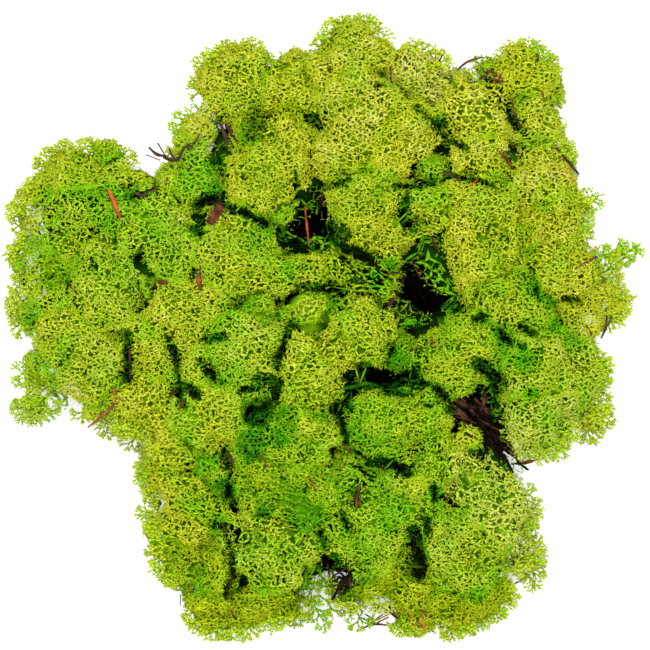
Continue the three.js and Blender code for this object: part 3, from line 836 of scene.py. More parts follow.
# Small tufts stand between the heads and fill their wider gaps: the same dyed lichen, grown in the same
# way over lumps that stop short of the heads' tops. Place in the plan and radius in mm.
FILLERS = (
    (-6, 4, 7.5), (-24, 5.5, 5.5), (-39, -48, 7), (36, 53, 5.5), (48, -40, 5), (-15, 41, 4),
    (8, -42.5, 4.5), (-60, 13, 5), (36.5, -64, 5), (-75.5, 57, 5), (-91.5, 26, 5), (-94.5, 20, 4.5),
    (-91.5, 14.5, 4.5),
)
FILLER_UNDER_HEADS = 2.5 * MM
FILLER_TALL = 1.3
FILLER_LOOK_AROUND = 1.2
FILLER_LOOKS = 8
RAY_HEIGHT = 0.2
DOWN = Vector((0, 0, -1))
NOT_A_HEAD = 998
filler_work = bmesh.new()
heads_ground = BVHTree.FromBMesh(all_heads)
for x, y, radius in FILLERS:
    middle, = in_plan([(x, y)])
    tops = []
    for step in range(FILLER_LOOKS):
        turned = Matrix.Rotation(math.tau * step / FILLER_LOOKS, 3, "Z")
        place = middle + turned @ Vector((radius * FILLER_LOOK_AROUND * MM, 0, RAY_HEIGHT))
        hit = heads_ground.ray_cast(place, DOWN)[0]
        if hit:
            tops.append(hit.z)
    half_height = radius * FILLER_TALL * MM
    centre = (middle.x, middle.y, sum(tops) / len(tops) - FILLER_UNDER_HEADS - half_height)
    size = Matrix.Diagonal((radius * MM, radius * MM, half_height, 1))
    bmesh.ops.create_icosphere(
        filler_work, subdivisions=3, radius=1.0, matrix=Matrix.Translation(centre) @ size)
fillers = run_tree(mesh_of(filler_work, "fillers"), tuft_tree, {
    **GIVEN, "Head number": NOT_A_HEAD, "Seed": 77, "Tint": 0.6, "Swell in the open": 1.0 * MM,
    "Lump height": 4 * MM,
}, "filling_tufts")


# Lower green growth fills the clump between and under the heads: the same lichen, kept short, and coloured
# dark as painted shade under the heads. It is the heads' own shapes pressed flat and swollen until they meet.
LOW_DRAW_IN = 0.925
LOW_PRESS = 0.40
LOW_LIFT = 3 * MM
low_work = bmesh.new()
low_work.from_mesh(heads_mesh)
for vertex in low_work.verts:
    x, y, z = vertex.co
    vertex.co = (x * LOW_DRAW_IN, y * LOW_DRAW_IN, z * LOW_PRESS + LOW_LIFT)
low_work.from_mesh(nodes["dead_base_mat"].data)
bmesh.ops.remove_doubles(low_work, verts=low_work.verts, dist=SAME_PLACE)
low = run_tree(mesh_of(low_work, "low"), tuft_tree, {
    **GIVEN, "Head number": NOT_A_HEAD + 1, "Seed": 7, "Cell": 2.0 * MM, "Thickness": 1.3,
    "Lump size": 11 * MM, "Lump height": 8 * MM, "Swell by neighbours": 3.6 * MM,
    "Swell in the open": 1.0 * MM, "Openness": 0.6, "Lowest facing": 0.0, "Tint": 0.15, "Core depth": 0.35,
    "Core shade": 0.12, "Pit depth": 6 * MM, "Grain": 1.8 * MM, "Core grain": 4.0 * MM,
}, "low_growth")
for helper in (neighbours, crevices, dye_spots, forked_tip):
    bpy.data.objects.remove(helper)


# The base mat is what the lichen grew up from: dark matted stems, humus and needles pressed into a thin
# cushion. It is a rough solid with dead stems lying over it.
FINE_GRAIN = 900.0
BUMP = 0.3
BUMP_HEIGHT = 0.4 * MM


def plain_material(name, darker, middle, lighter, scale, roughness, specular=0.0):
    """Bark, dead stems and needles: a colour ramp over object-space noise, with a fine bump."""
    material, shader = new_material(name, roughness, specular)
    place_on = made("Mapping", Vector=node("TexCoord").outputs["Object"], Scale=(1, 1, 1))
    in_hand.links.new(
        colour_ramp(speckle(place_on, scale, 4.0), (darker, middle, lighter)), shader.inputs["Base Color"])
    raised = made(
        "Bump", Height=speckle(place_on, FINE_GRAIN, 3.0), Strength=BUMP, Distance=BUMP_HEIGHT)
    in_hand.links.new(raised, shader.inputs["Normal"])
    return material


humus = plain_material(
    "humus", (0.30, (0.0002, 0.0002, 0.0001)), (0.50, (0.0008, 0.0006, 0.0002)),
    (0.70, (0.0018, 0.0014, 0.0005)), 160.0, 0.9)
dead_stem = plain_material(
    "dead_stem", (0.30, (0.002, 0.002, 0.0005)), (0.50, (0.007, 0.005, 0.001)),
    (0.70, (0.025, 0.018, 0.003)), 200.0, 0.9)

# Two strewings of dead stems over the mat: distance between them, length and thickness in mm.
MAT_STEMS = ((4.2, 7.0, 0.42), (3.2, 5.0, 0.28))
MAT_STEM_LEAN = (1.4, 1.4, 3.1)
mat_tree, mat_in = new_tree("dead_mat", {
    "Seed": 0, "Roughness of the mat": 5 * MM, "Material": "Material", "Stem material": "Material",
})
here = made("InputPosition")
normal = made("InputNormal")
mat_rise = (speckle(here, 170.0, 3.0) - 0.52) * mat_in["Roughness of the mat"] * (
    between(up_part(here), 1.5 * MM, 7 * MM) * 2.0)
mat_body = shifted(remeshed(mat_in["Geometry"], 1.6 * MM, 3.0 * MM, 3.2 * MM, 0.1), normal * mat_rise)
strewn = [painted(mat_body, mat_in["Material"])]
for number, (gap, longest, thickness) in enumerate(MAT_STEMS):
    spots = made(
        "DistributePointsOnFaces", Mesh=mat_body, Selection=up_part(normal) > 0.1, Distance_Min=gap * MM,
        Density_Max=2.0 / (gap * MM) ** 2, Seed=mat_in["Seed"] + number, distribute_method="POISSON")
    stem = made(
        "MeshCone", Vertices=3, Side_Segments=1, Radius_Top=0.5, Radius_Bottom=1.0, Depth=1.0,
        fill_type="NGON")
    lean = random_arrow(20 + number, MAT_STEM_LEAN)
    stem_length = random_figure(0.5 * longest * MM, longest * MM, 30 + number)
    strewn.append(made(
        "InstanceOnPoints", Points=spots, Instance=painted(stem, mat_in["Stem material"]), Rotation=lean,
        Scale=stick_size(thickness * MM, stem_length)))
node("NodeGroupOutput", made("SetShadeSmooth", Geometry=joined(strewn)))

base_mat = run_tree(mesh_of(merged("dead_base_mat"), "mat"), mat_tree, {
    "Seed": 3, "Material": humus, "Stem material": dead_stem,
}, "base_mat")
for vertex in base_mat.data.vertices:
    vertex.co.z = max(vertex.co.z, 0.0)
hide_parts("dead_base_mat")


# Loose sprigs stand out from the rim: single stems of the same lichen that fork over and over in the open.
# Each is grown here as a line of forks, and every length of it becomes a rod.
sprig_tree, sprig_in = new_tree("sprig", {"Rod": "Object", "Material": "Material"})
sprig_lines, line_start, _ = with_runs(sprig_in["Geometry"])
sprig_rods = made(
    "InstanceOnPoints", Points=made("MeshToPoints", Mesh=sprig_lines, Position=line_start, mode="EDGES"),
    Instance=thing(sprig_in["Rod"]), Rotation=read("turn", "QUATERNION"),
    Scale=stick_size(read("thick"), read("length")))
end_tree(
    made("RealizeInstances", Geometry=sprig_rods), read("shade"), read("tint"),
    ("shade", "tint", "turn", "length", "thick"), sprig_in["Material"])

# Each sprig: the node it belongs to, or none for a loose one; height in mm, dye strength, depth colour of
# its foot, forkings of its fans, and the line of its main stem in the clump's plan in mm.
SPRIGS = (
    (
        "sprig_east", 22, 0.25, 0.80, 2, (84, 15), (87, 17), (90, 18.5), (93, 19.5), (96, 20.5), (99, 22),
        (102, 24), (105, 25.5),
    ),
    ("sprig_east", 19, 0.30, 0.76, 2, (86, 13), (90, 15), (94, 17), (98, 19.5), (101, 21.5)),
    ("sprig_east", 24, 0.25, 0.82, 2, (88, 19), (92, 21.5), (96, 24), (100, 26)),
    ("sprig_west", 16, 0.35, 0.74, 5, (-92, -14), (-96, -15), (-100, -15.5)),
    ("sprig_west", 17, 0.40, 0.74, 5, (-92, -16), (-96, -19), (-99, -23), (-100, -27)),
    ("sprig_west", 15, 0.40, 0.74, 4, (-97, -25), (-97, -29)),
    ("sprig_west", 18, 0.40, 0.78, 4, (-91, -13), (-95, -13), (-99, -14), (-102, -17)),
    ("sprig_west", 13, 0.40, 0.72, 4, (-94, -21), (-97, -26), (-99, -30)),
    ("sprig_west", 12, 0.40, 0.70, 4, (-100, -26), (-103, -29)),
    ("sprig_west", 20, 0.40, 0.78, 4, (-93, -19), (-95, -24), (-96, -28)),
    ("sprig_west", 15, 0.40, 0.74, 4, (-98, -20), (-102, -22), (-103, -27)),
    ("head_east_lace", 20, 0.85, 0.62, 5, (86, 8), (91, 9), (95, 10), (99, 9)),
    ("head_east_lace", 22, 0.90, 0.62, 5, (87, 12), (92, 14), (97, 14)),
    ("head_east_lace", 18, 0.80, 0.62, 5, (87, 4), (92, 4), (97, 5)),
    ("", 26, 0.45, 0.6, 3, (86, 41), (89, 41.5), (91, 42.5)),
    ("", 20, 0.55, 0.62, 3, (-53, -65), (-57, -64.5), (-61, -64)),
    ("", 18, 0.55, 0.62, 3, (-52, -67), (-57, -68)), ("", 19, 0.50, 0.60, 3, (-52, -71), (-57, -72)),
    ("", 20, 0.80, 0.65, 4, (-53, -46), (-57, -48), (-60, -50)),
    ("", 20, 0.80, 0.65, 4, (-53, -52), (-57, -54)), ("", 21, 0.75, 0.65, 4, (-54, -43), (-59, -45)),
    ("", 12, 0.90, 0.7, 4, (51, -99), (48, -102), (44, -104.5)),
    ("", 14, 0.55, 0.64, 4, (64, -76), (67, -80), (71, -84)),
    ("", 12, 0.55, 0.62, 4, (65, -78), (69, -82), (72, -86)),
    ("", 16, 0.55, 0.64, 4, (65, -74), (69, -77), (72, -79)),
    ("", 15, 0.60, 0.64, 3, (64, -68), (68, -68.5)), ("", 14, 0.60, 0.64, 3, (64, -71), (69, -73)),
    ("", 18, 0.60, 0.64, 4, (84, -24), (88, -27), (91, -30), (94, -32)),
    ("", 16, 0.60, 0.62, 4, (84, -27), (89, -31), (91, -35)),
    ("", 20, 0.60, 0.64, 4, (86, -21), (90, -23), (94, -26)),
    ("", 17, 0.60, 0.62, 3, (86, -29), (89, -33), (90, -36)),
    ("", 22, 0.60, 0.64, 3, (86, -14), (90, -16)), ("", 20, 0.60, 0.6, 3, (86, -17), (90, -18)),
    ("", 30, 0.35, 0.6, 4, (-40, 70), (-44, 70), (-48, 69)),
    ("", 10, 0.45, 0.5, 4, (-4, -95), (-3, -98), (-2, -100)),
    ("", 10, 0.50, 0.5, 4, (-10, -95), (-9, -99)), ("", 10, 0.45, 0.5, 3, (1, -95), (2, -98)),
    ("", 10, 0.50, 0.45, 4, (8, -92), (10, -97), (12, -101)),
    ("", 10, 0.50, 0.45, 4, (22, -97), (25, -101)), ("", 10, 0.55, 0.5, 3, (28, -97), (29, -101)),
    ("", 15, 0.60, 0.55, 3, (-34, -100), (-33, -104)), ("", 18, 0.60, 0.6, 3, (-80, -26), (-83, -30)),
    ("", 18, 0.65, 0.6, 4, (-76, -28), (-75, -33)), ("", 18, 0.65, 0.6, 4, (-70, -30), (-70, -35)),
    ("", 18, 0.65, 0.6, 4, (-63, -33), (-65, -38)), ("", 22, 0.50, 0.6, 3, (74, 61), (77, 62)),
    ("", 22, 0.35, 0.6, 3, (77, 55), (81, 56.5)), ("", 20, 0.35, 0.6, 3, (79, 52), (82, 53)),
    ("", 24, 0.60, 0.6, 3, (85, 33), (88, 31)), ("", 20, 0.50, 0.6, 4, (-98, 12), (-103, 12.5)),
    ("", 18, 0.50, 0.62, 4, (-98, 9), (-104, 8)), ("", 17, 0.45, 0.62, 4, (-97, 15), (-103, 17)),
    ("", 23, 0.60, 0.62, 4, (-75, 54), (-75, 58.5)), ("", 25, 0.60, 0.62, 4, (-80, 54), (-80, 59)),
    ("", 12, 0.45, 0.46, 4, (-6, -84), (-6, -88), (-5, -92)),
    ("", 14, 0.45, 0.46, 4, (-2, -83), (-1, -88), (-2, -93)),
    ("", 14, 0.50, 0.50, 4, (-9, -88), (-8, -93), (-9, -97)), ("", 10, 0.45, 0.42, 4, (2, -84), (4, -89)),
    ("", 22, 0.60, 0.62, 4, (-70, 53), (-69, 57)),
)
FIRST_STEM = 1.9
STEM_RADIUS = 0.62
EAST_IS_STOUTER = 1.3
STEM_TAPER = 0.08
FORK_RADIUS = 0.75
FORK_SHRINK = 0.80
FORK_TILT = 65
THIRD_FORK = 0.45
CROWDING = 0.75
FIRST_SPRIG_SEED = 11


def turned(heading, degrees, axis):
    return Matrix.Rotation(math.radians(degrees), 3, axis) @ heading


def fork(work, layers, taken_cells, rng, foot, heading, length, radius, shade, tint, forkings):
    """A stem and everything that forks from it, kept clear of what is there already."""
    tip = foot.co + heading * length * MM
    cell = tuple(round(part / (CROWDING * MM)) for part in tip)
    if cell in taken_cells:
        return
    taken_cells.add(cell)
    end = work.verts.new(tip)
    for layer, value in zip(layers, (radius * MM, shade, tint)):
        end[layer] = value
    work.edges.new((foot, end))
    if forkings == 0:
        return
    turns = [rng.uniform(22, 45), rng.uniform(-45, -22)]
    if rng.random() < THIRD_FORK:
        turns.append(rng.uniform(-10, 10))
    up_now = turned(Vector((0, 0, 1)), rng.uniform(-FORK_TILT, FORK_TILT), heading)
    # Each fork is coloured a step lighter than its stem: the darker feet are partly older stems and partly
    # painted shade near the clump.
    for turn in turns:
        new_heading = turned(heading, turn, up_now) + Vector((0, 0, rng.uniform(-0.2, 0.3)))
        fork(
            work, layers, taken_cells, rng, end, new_heading.normalized(),
            length * rng.uniform(FORK_SHRINK - 0.1, FORK_SHRINK + 0.1), radius * 0.9,
            min(shade + 0.09, 0.95), tint + rng.uniform(-0.05, 0.05), forkings - 1)


def grow_sprigs(piece_name, lines, stem_radius=STEM_RADIUS):
    """Lines of (height, dye, shade, forkings, points in the plan in metres, seed) grown into one piece."""
    work = bmesh.new()
    layers = [work.verts.layers.float.new(name) for name in ("thick", "shade", "tint")]
    taken_cells = set()
    for height, tint, shade, forkings, points, seed in lines:
        rng = random.Random(seed)
        last = None
        for step, (x, y, *_) in enumerate(points):
            joint = work.verts.new((x, y, height * MM))
            for layer, value in zip(layers, (stem_radius * MM * (1 - STEM_TAPER * step), shade, tint)):
                joint[layer] = value
            if last:
                work.edges.new((last, joint))
                along = (joint.co - last.co).normalized()
                for turn in (0, 50, -50) if step == len(points) - 1 else (55, -55):
                    fork(
                        work, layers, taken_cells, rng, joint,
                        turned(along, turn + rng.uniform(-12, 12), "Z"), FIRST_STEM * rng.uniform(0.8, 1.1),
                        stem_radius * FORK_RADIUS, shade + 0.06, tint, forkings)
            last = joint
    return run_tree(mesh_of(work, piece_name), sprig_tree, {"Rod": rod, "Material": lichen}, piece_name)


for owner in (*SPRIG_NODES, "head_east_lace", ""):
    lines = [
        (height, tint, shade, forkings, in_plan(points), FIRST_SPRIG_SEED + number)
        for number, (grows_from, height, tint, shade, forkings, *points) in enumerate(SPRIGS)
        if grows_from == owner
    ]
    stoutness = EAST_IS_STOUTER if owner == "sprig_east" else 1.0
    sprig = grow_sprigs("fan_" + owner if owner else "loose_sprigs", lines, STEM_RADIUS * stoutness)
    if owner in SPRIG_NODES:
        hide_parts(owner)


# Round the whole rim the same stems stand out between the heads, one in each direction, from where the
# heads reach furthest.
RIM_SPRIGS = 200
RIM_HEIGHTS = (12, 18, 24, 30, 36)
RIM_OUTSIDE = 0.2
RIM_ROOT = 6.4
RIM_TOP = 4.4
RIM_SHADE = 0.66
RIM_FORKINGS = 3
rim_rng = random.Random(5)
rim_lines = []
for number in range(RIM_SPRIGS):
    way = Matrix.Rotation(math.tau * number / RIM_SPRIGS, 3, "Z") @ Vector((1, 0, 0))
    best = None
    for height in RIM_HEIGHTS:
        hit = heads_ground.ray_cast(way * RIM_OUTSIDE + Vector((0, 0, height * MM)), -way)
        if hit[0] and (best is None or hit[0].xy.length > best[0].xy.length):
            best = hit
    if best:
        place, face_normal = best[:2]
        out = Vector((face_normal.x, face_normal.y, 0)).normalized() + way * 0.4
        out.normalize()
        height = max(place.z / MM + rim_rng.uniform(-7, 9), 4)
        points = [place - out * RIM_ROOT * MM, place - out * RIM_TOP * MM]
        rim_lines.append((height, rim_rng.uniform(0.4, 0.75), RIM_SHADE, RIM_FORKINGS, points, number))
rim = grow_sprigs("rim_sprigs", rim_lines)
all_heads.free()


# What fell on the clump in the forest and stuck there: pine needles and thin twigs, bent and drying. Each
# is a line over the top of the growth, made round by a small tree.
stick_tree, stick_in = new_tree("stick", {
    "Sides": 6, "Step": 1.0 * MM, "Wobble": 0.25 * MM, "Material": "Material",
})
here = made("InputPosition")
stick_curve = made(
    "CurveSplineType", Curve=made("MeshToCurve", Mesh=stick_in["Geometry"]), spline_type="CATMULL_ROM")
stick_curve = made("ResampleCurve", Curve=stick_curve, Length=stick_in["Step"], mode="LENGTH")
stick_body = made(
    "CurveToMesh", Curve=stick_curve, Fill_Caps=True,
    Profile_Curve=made("CurvePrimitiveCircle", Resolution=stick_in["Sides"], Radius=1.0, mode="RADIUS"),
    Scale=read("thick") * (0.65 + speckle(here, 600.0) * 0.7))
bend = speckle(here, 260.0, output="Color") - (0.5, 0.5, 0.5)
stick_body = made(
    "RemoveAttribute", Geometry=shifted(stick_body, bend * stick_in["Wobble"]), Name="thick")
node("NodeGroupOutput", painted(stick_body, stick_in["Material"]))

# Each material of the litter: three colours from dark to light, grain, roughness and gloss.
LITTER = {
    "bark_brown": ((0.010, 0.005, 0.003), (0.040, 0.016, 0.008), (0.13, 0.055, 0.022), 350.0, 0.85, 0.1),
    "bark_dark": ((0.0015, 0.001, 0.0005), (0.005, 0.003, 0.0015), (0.020, 0.010, 0.005), 300.0, 0.85, 0.05),
    "needle_red": ((0.20, 0.035, 0.008), (0.38, 0.075, 0.012), (0.55, 0.14, 0.02), 300.0, 0.6, 0.2),
    "needle_brown": ((0.03, 0.007, 0.003), (0.10, 0.024, 0.007), (0.24, 0.065, 0.018), 300.0, 0.65, 0.2),
    "needle_dark": ((0.012, 0.006, 0.003), (0.045, 0.018, 0.009), (0.12, 0.050, 0.025), 300.0, 0.7, 0.2),
    "twig_tan": ((0.05, 0.015, 0.005), (0.18, 0.055, 0.015), (0.36, 0.14, 0.05), 350.0, 0.7, 0.2),
    "stem_green": ((0.02, 0.16, 0.004), (0.05, 0.28, 0.005), (0.10, 0.38, 0.01), 300.0, 0.7, 0.0),
}
litter = {
    name: plain_material(name, (0.30, dark), (0.50, middle), (0.72, light), scale, roughness, specular)
    for name, (dark, middle, light, scale, roughness, specular) in LITTER.items()
}

# What the litter lies on: the tufts as grown, with the fine points between branches bridged.
GROUND = ("tuft_", "low_growth", "base_mat", "sprig_", "filling_")
LOOK_AROUND = 0.7 * MM
BARE_HEIGHT = 8 * MM
LOWEST_STICK = 3 * MM
STICK_LIFT = 0.3 * MM
STICK_END_THINNER = 0.55
ground_work = bmesh.new()
for piece in list(bpy.data.objects):
    if piece.type == "MESH" and piece.name.startswith(GROUND):
        ground_work.from_mesh(piece.data)
ground = BVHTree.FromBMesh(ground_work)
ground_work.free()


def top_at(place):
    """Height at which a stick lies here, held up by the higher points around."""
    heights = []
    for x, y in itertools.product((-1, 0, 1), repeat=2):
        above = Vector((place.x + x * LOOK_AROUND, place.y + y * LOOK_AROUND, RAY_HEIGHT))
        hit = ground.ray_cast(above, DOWN)[0]
        if hit:
            heights.append(hit.z)
    if not heights:
        return BARE_HEIGHT
    heights.sort()
    return max(heights[-1 - len(heights) // 4] + STICK_LIFT, LOWEST_STICK)


def sticks(piece_name, rows, material, sides=6, wobble=0.25):
    """Sticks in one piece: rows of (thickness in mm, points in the plan). A third figure in a point is its
    height in mm; without one it lies on the growth."""
    work = bmesh.new()
    layer = work.verts.layers.float.new("thick")
    for thickness, *points in rows:
        line = in_plan([point[:2] for point in points])
        for place, point in zip(line, points):
            place.z = point[2] * MM if len(point) > 2 else top_at(place)
        if all(len(point) == 2 for point in points):
            for index in range(1, len(line) - 1):
                line[index].z = max(line[index].z, (line[index - 1].z + line[index + 1].z) / 2)
        line = [work.verts.new(place) for place in line]
        for vertex in line:
            vertex[layer] = thickness / 2 * MM * (STICK_END_THINNER if vertex in (line[0], line[-1]) else 1.0)
        for pair in itertools.pairwise(line):
            work.edges.new(pair)
    return run_tree(mesh_of(work, piece_name), stick_tree, {
        "Sides": sides, "Wobble": wobble * MM, "Material": litter[material],
    }, piece_name)


# The pieces of litter that are nodes of their own: node, piece, thickness, material, line in the plan.
SINGLE_STICKS = (
    ("needle_long", "pine_needle_long", 1.0, "needle_red", (-7, 41), (-6.2, 34), (-5.5, 27)),
    ("needle_west", "pine_needle_west", 2.0, "needle_red", (-73.5, 46), (-71.5, 41.5), (-69.5, 36)),
    ("needle_east", "pine_needle_east", 0.9, "needle_dark", (79, 60.5), (83, 56), (87, 51.5)),
    (
        "needle_north_east", "pine_needle_north_east", 1.2, "needle_brown", (59.5, 59), (62, 56.5),
        (64, 53.5),
    ),
    ("twig_north", "dry_twig_north", 0.9, "needle_dark", (45, 87, 31), (49, 90, 30), (54, 91.5, 27)),
    (
        "twig_south_west", "dry_twig_south_west", 1.0, "twig_tan", (-72, -21), (-71, -26),
        (-76, -31, 34), (-81, -35, 28),
    ),
    ("twig_east", "dry_twig_east", 1.0, "needle_dark", (96.3, 3, 27), (96, -1, 25.5), (94.5, -4.5, 24)),
    ("stick_centre", "dry_stick_centre", 1.7, "bark_brown", (27, 16), (24, 10), (20.5, 5)),
    ("stick_south", "dry_stick_south", 1.6, "bark_dark", (11, -82), (6, -88), (2.5, -94)),
)
for node_name, piece_name, thickness, material, *points in SINGLE_STICKS:
    piece = sticks(piece_name, [(thickness, *points)], material)
    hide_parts(node_name)

# Small litter strewn over the clump, by colour: thickness in mm and the line in the plan.
RED_NEEDLES = (
    (0.8, (80.5, 52.5), (83.5, 52.5)), (0.8, (81, 51), (85, 49)), (1.0, (52, 49.5), (49, 47)),
    (0.8, (35, -6), (38, -5)), (0.7, (29, -99), (31, -104)), (0.9, (33, -99), (34, -104)),
    (0.8, (36, -100), (37, -105)), (0.9, (17, -99), (20, -97)), (0.8, (54, -24), (55.5, -30)),
    (0.6, (6, -98, 8), (6.6, -100, 8)), (1.0, (24, -99), (27, -97)), (0.8, (18, -102), (23, -99)),
    (1.1, (57.5, 82.5), (59.5, 85)), (0.7, (32, -103), (36, -103.5)),
)
BROWN_NEEDLES = (
    (1.1, (22.3, 88), (22.5, 82.5)), (0.9, (36, 31), (37.5, 27), (39.5, 23.5)),
    (0.9, (16.5, 15), (12, 11)), (1.0, (86.5, 20), (90, 22), (93, 23.5)),
    (0.6, (-80, -30.5), (-73, -30.3)), (1.0, (-5.5, -51), (-3, -56)), (0.9, (-22, -43), (-19.5, -48)),
    (0.8, (12.5, -52.5), (11, -58), (10.5, -62.5)), (0.8, (10, -56), (10.5, -62)),
    (1.6, (13, -58), (10.5, -62)), (1.8, (-58.5, 12.5), (-56, 14.5), (-53, 14)),
    (1.2, (-57, 15.5), (-52.5, 16.5)), (1.6, (-42, 19), (-42.5, 15), (-41.5, 11.5)),
    (1.2, (-35, -68), (-33, -71)), (1.4, (53, 84.5), (56, 86)), (1.3, (56, 87), (59, 86)),
    (1.2, (58.5, 84), (61.5, 83)), (1.0, (54, 88), (56, 84)), (1.2, (21, -98), (25, -101)),
    (1.2, (31, -100), (33, -103)), (1.0, (34, -99), (36, -100)), (0.9, (14, -100), (17, -102)),
    (1.1, (32, -97), (35, -98)), (0.9, (26, -103), (29, -102)), (0.9, (19, -95), (21, -99)),
    (0.9, (22, -101), (17, -103.5)), (1.0, (31, -70), (34, -76)), (0.9, (6, -40.5), (9, -43.5)),
    (0.9, (12, -44.5), (16, -46)), (1.0, (17, -46), (22, -51)), (0.8, (-45, -76), (-42, -78)),
    (0.8, (-45, -81.5), (-43.5, -82)), (1.0, (72.5, 94), (73, 90.5)), (0.8, (74, 80), (75, 76)),
    (1.2, (60, 86), (60.5, 82)), (1.2, (64.5, -48), (68, -47), (72, -46)),
    (0.8, (15, -103.5, 8), (20, -100, 9)), (1.0, (17, -98, 9), (22, -96, 9)), (0.7, (-62, 59), (-57, 57)),
    (0.9, (51, -16), (50.5, -19)), (1.0, (-2, 75), (-1.5, 69)), (0.9, (-48, 34), (-45.5, 32)),
    (1.0, (31, 20), (33, 16)), (1.2, (-32, -91), (-31.5, -100)), (0.6, (87.5, 35), (88.2, 29)),
)
DARK_TWIGS = (
    (1.5, (-35.5, 68.5, 36), (-33.8, 64, 36), (-33, 61, 36)),
    (1.4, (-33.5, 68, 36), (-31.5, 65, 36), (-29.5, 62, 36)), (1.0, (-31, 74), (-24, 76)),
    (1.2, (-60, 60.5, 33), (-57, 58, 33), (-54, 57.5, 34)),
    (1.4, (-55, 57, 34), (-51.5, 56, 35), (-49, 57.5, 35)),
    (1.0, (-49.5, 56.5, 35), (-48, 60, 36), (-45.5, 61, 35)), (1.0, (-57, 62, 33), (-54, 57, 33)),
    (1.1, (-53, 60, 35), (-51, 56, 34)), (0.9, (-46, 59.5, 35), (-42.5, 65, 35)),
    (1.1, (-66, 46), (-62, 44), (-58, 46)), (0.9, (-58, 50), (-57.5, 45)),
    (1.0, (-41, 42), (-36, 41.5), (-34, 41)), (0.7, (-94, 31), (-92, 33)), (0.7, (-92, 31), (-90, 33)),
    (0.9, (-88, 15), (-84.5, 11)), (0.8, (-58, 11.4), (-52, 13.6)), (0.9, (-42, 20), (-42, 12)),
    (0.6, (38.5, 89, 28), (40, 92, 28), (41, 94, 27)), (0.5, (38.5, 92.5, 28), (41, 93, 27)),
    (0.9, (64, 76), (65, 72), (67, 67)), (0.8, (81, 58), (86, 52)), (0.7, (84, 56), (86.5, 51)),
    (0.7, (-102.5, -12, 17), (-100, -10, 17)), (0.7, (-101.5, -12.5, 17), (-99.5, -10, 17)),
    (1.6, (-66.5, -8), (-66.5, -18)), (1.5, (-33, -43), (-31, -47)), (1.6, (-46, -22), (-49, -28)),
    (1.3, (-50.5, -21), (-53, -25)), (1.4, (-31, -85), (-34, -91)), (0.6, (-50, -88, 12), (-46, -90, 12)),
    (0.9, (13, -105, 7), (17, -103.5, 7), (22, -104, 7)), (1.0, (33, -100, 8), (33.2, -105.5, 7)),
    (0.9, (36, -105, 7), (38.5, -107, 6)), (0.8, (98, 3, 24), (97, 0, 23)), (0.9, (89, 0), (91, -3)),
    (0.6, (100, 15), (99.5, 13.5)), (2.2, (8, -82), (9, -90)), (1.3, (1, -82), (2, -92)),
    (1.2, (3, -84), (10, -88)), (1.1, (10, -81), (3, -86)), (0.6, (10, -88, 10), (14, -94, 9)),
    (0.5, (13, -88, 10), (12, -93, 9)), (2.4, (0, 46), (-2, 40)), (1.2, (52, 88), (60, 85)),
    (1.6, (54, 85), (61, 83)), (1.2, (40, 52), (46, 50)), (1.3, (31, -71), (30, -80)),
    (0.7, (-50, -93, 10), (-50, -97, 9)), (0.8, (28, 22), (34, 18)), (1.0, (20, 17), (25, 18)),
    (1.5, (24, 90), (25, 92)), (1.2, (28, 90), (27, 87)), (1.0, (65.8, -89.5, 6), (67.2, -88.8, 6)),
)
GREEN_STEMS = (
    (1.6, (6, -21.5), (10, -21), (14, -20), (18, -21)), (1.2, (14, -20), (13, -16)),
    (1.0, (9, -21), (9, -26)), (1.4, (33.5, -72), (34.5, -77), (36, -81)), (1.0, (34, -74), (33, -70)),
)
sticks("strewn_red_needles", RED_NEEDLES, "needle_red")
sticks("strewn_brown_needles", BROWN_NEEDLES, "needle_brown")
sticks("strewn_dark_twigs", DARK_TWIGS, "needle_dark")
sticks("open_green_stems", GREEN_STEMS, "stem_green")


# The strip of bark lies in a gap on the east side: a slab torn off a trunk, dark within. Its own curled end
# and a flake on the west side are of the same bark, crumpled along the grain.
BARK_LINE = (Vector((38, -21)), Vector((64.5, -46)))
BARK_PIECES = (
    ("bark_slab", "torn_bark", "bark_dark"), ("bark_curl", "curled_bark", "bark_dark"),
    ("bark_flake_west", "bark_chip", "needle_brown"),
)
BARK_EDGE = 2.5 * MM
BARK_CUTS = 3
CRUMPLE = 0.7
CRUMPLE_GRAIN = 420
SLAB_TAPERS_FROM = 0.50
SLAB_NARROWS = 1.4
SLAB_NARROWEST = 0.8
SLAB_SUNK = 1.5 * MM
SLAB_ASIDE = 1.2 * MM
SLAB_END_SUNK = 6 * MM
slab_start, slab_end = in_plan(BARK_LINE)
slab_length = (slab_end - slab_start).length
slab_grain = (slab_end - slab_start).normalized()
slab_across = Vector((-slab_grain.y, slab_grain.x, 0))

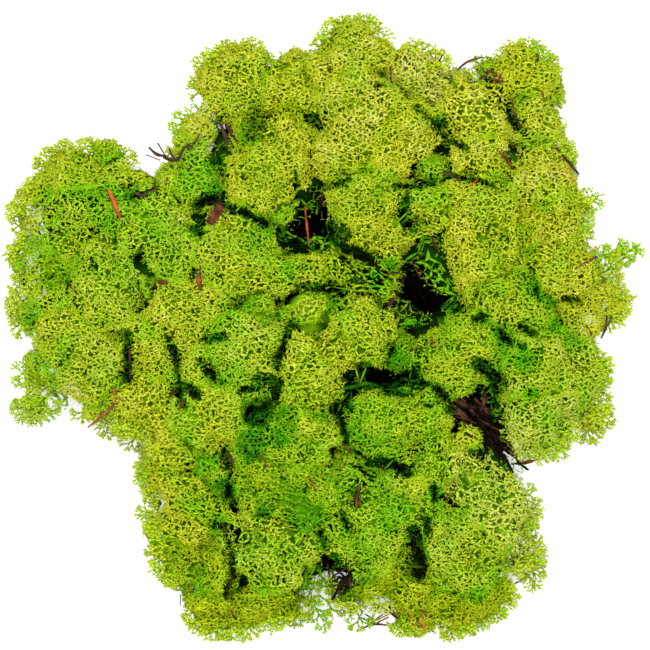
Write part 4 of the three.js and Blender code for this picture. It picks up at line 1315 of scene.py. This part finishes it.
for node_name, piece_name, material in BARK_PIECES:
    work = merged(node_name)
    long_edges = [edge for edge in work.edges if edge.calc_length() > BARK_EDGE]
    bmesh.ops.subdivide_edges(work, edges=long_edges, cuts=BARK_CUTS, use_grid_fill=True)
    for vertex in work.verts:
        if node_name != "bark_flake_west":
            past = max(0.0, (vertex.co - slab_start).dot(slab_grain) / slab_length - SLAB_TAPERS_FROM)
            aside = slab_across * (vertex.co - slab_start).dot(slab_across)
            down = Vector((0, 0, SLAB_SUNK + past * SLAB_END_SUNK))
            vertex.co += slab_across * SLAB_ASIDE - aside * min(SLAB_NARROWEST, past * SLAB_NARROWS) - down
        else:
            vertex.co.z -= SLAB_SUNK
        vertex.co += noise.noise_vector(vertex.co * CRUMPLE_GRAIN) * CRUMPLE * MM
    bmesh.ops.recalc_face_normals(work, faces=work.faces)
    body = placed(piece_name, mesh_of(work, node_name))
    body.data.materials.append(litter[material])
    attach(body, "root")
    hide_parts(node_name)


# Loose fibres run along the bark and stand off at its ends: dark ones over its length, and brown ones
# mostly at the upper end, where they lie in a bundle.
BARK_FIBRES = 100
FIBRE_WOBBLE = 0.8
FIBRE_THICKNESSES = (0.4, 0.6, 0.9, 1.6)
FIBRES_REACH = 0.82
fibre_rng = random.Random(9)
dark_fibres, brown_fibres = [], []
grain = (BARK_LINE[1] - BARK_LINE[0]).normalized()
across = Vector((-grain.y, grain.x))
for number in range(BARK_FIBRES):
    along = fibre_rng.uniform(0.0, FIBRES_REACH)
    spread = 3.4 + 1.8 * math.sin(math.pi * along) - 2.4 * along
    start = BARK_LINE[0].lerp(BARK_LINE[1], along) + across * fibre_rng.uniform(-spread, spread)
    reach = fibre_rng.uniform(3, 11)
    skew = fibre_rng.uniform(-0.40, 0.45)
    end = start + (grain + across * skew) * reach
    middle = (start + end) / 2 + across * fibre_rng.uniform(-0.8, 0.8)
    height = fibre_rng.uniform(27, 33)
    row = (
        fibre_rng.choice(FIBRE_THICKNESSES), (*start, height),
        (*middle, height + fibre_rng.uniform(-0.5, 1.5)), (*end, height + fibre_rng.uniform(-1.5, 1.5)),
    )
    brown_share = 0.55 if along < 0.35 else 0.25 if along > 0.7 else 0.10
    (brown_fibres if fibre_rng.random() < brown_share else dark_fibres).append(row)
brown_fibres += [
    (2.6, (38, -19, 33), (41, -22.5, 33), (44, -25, 32)),
    (2.2, (41, -20, 33), (44.5, -23.5, 33.5), (48, -26, 33)),
    (2.4, (44, -25, 33.5), (47, -27, 34), (51, -28, 33)),
    (1.8, (54, -22.5, 35), (54.3, -25.5, 35), (53, -29, 33)),
    (1.6, (43, -27, 32), (46, -29.5, 32), (49, -32, 31)),
    (1.5, (51, -25, 33), (54, -28, 33), (56, -31, 32)),
]
sticks("dark_bark_fibres", dark_fibres, "bark_dark", 4, FIBRE_WOBBLE)
sticks("brown_bark_fibres", brown_fibres, "bark_brown", 4, FIBRE_WOBBLE)
bpy.data.objects.remove(rod)
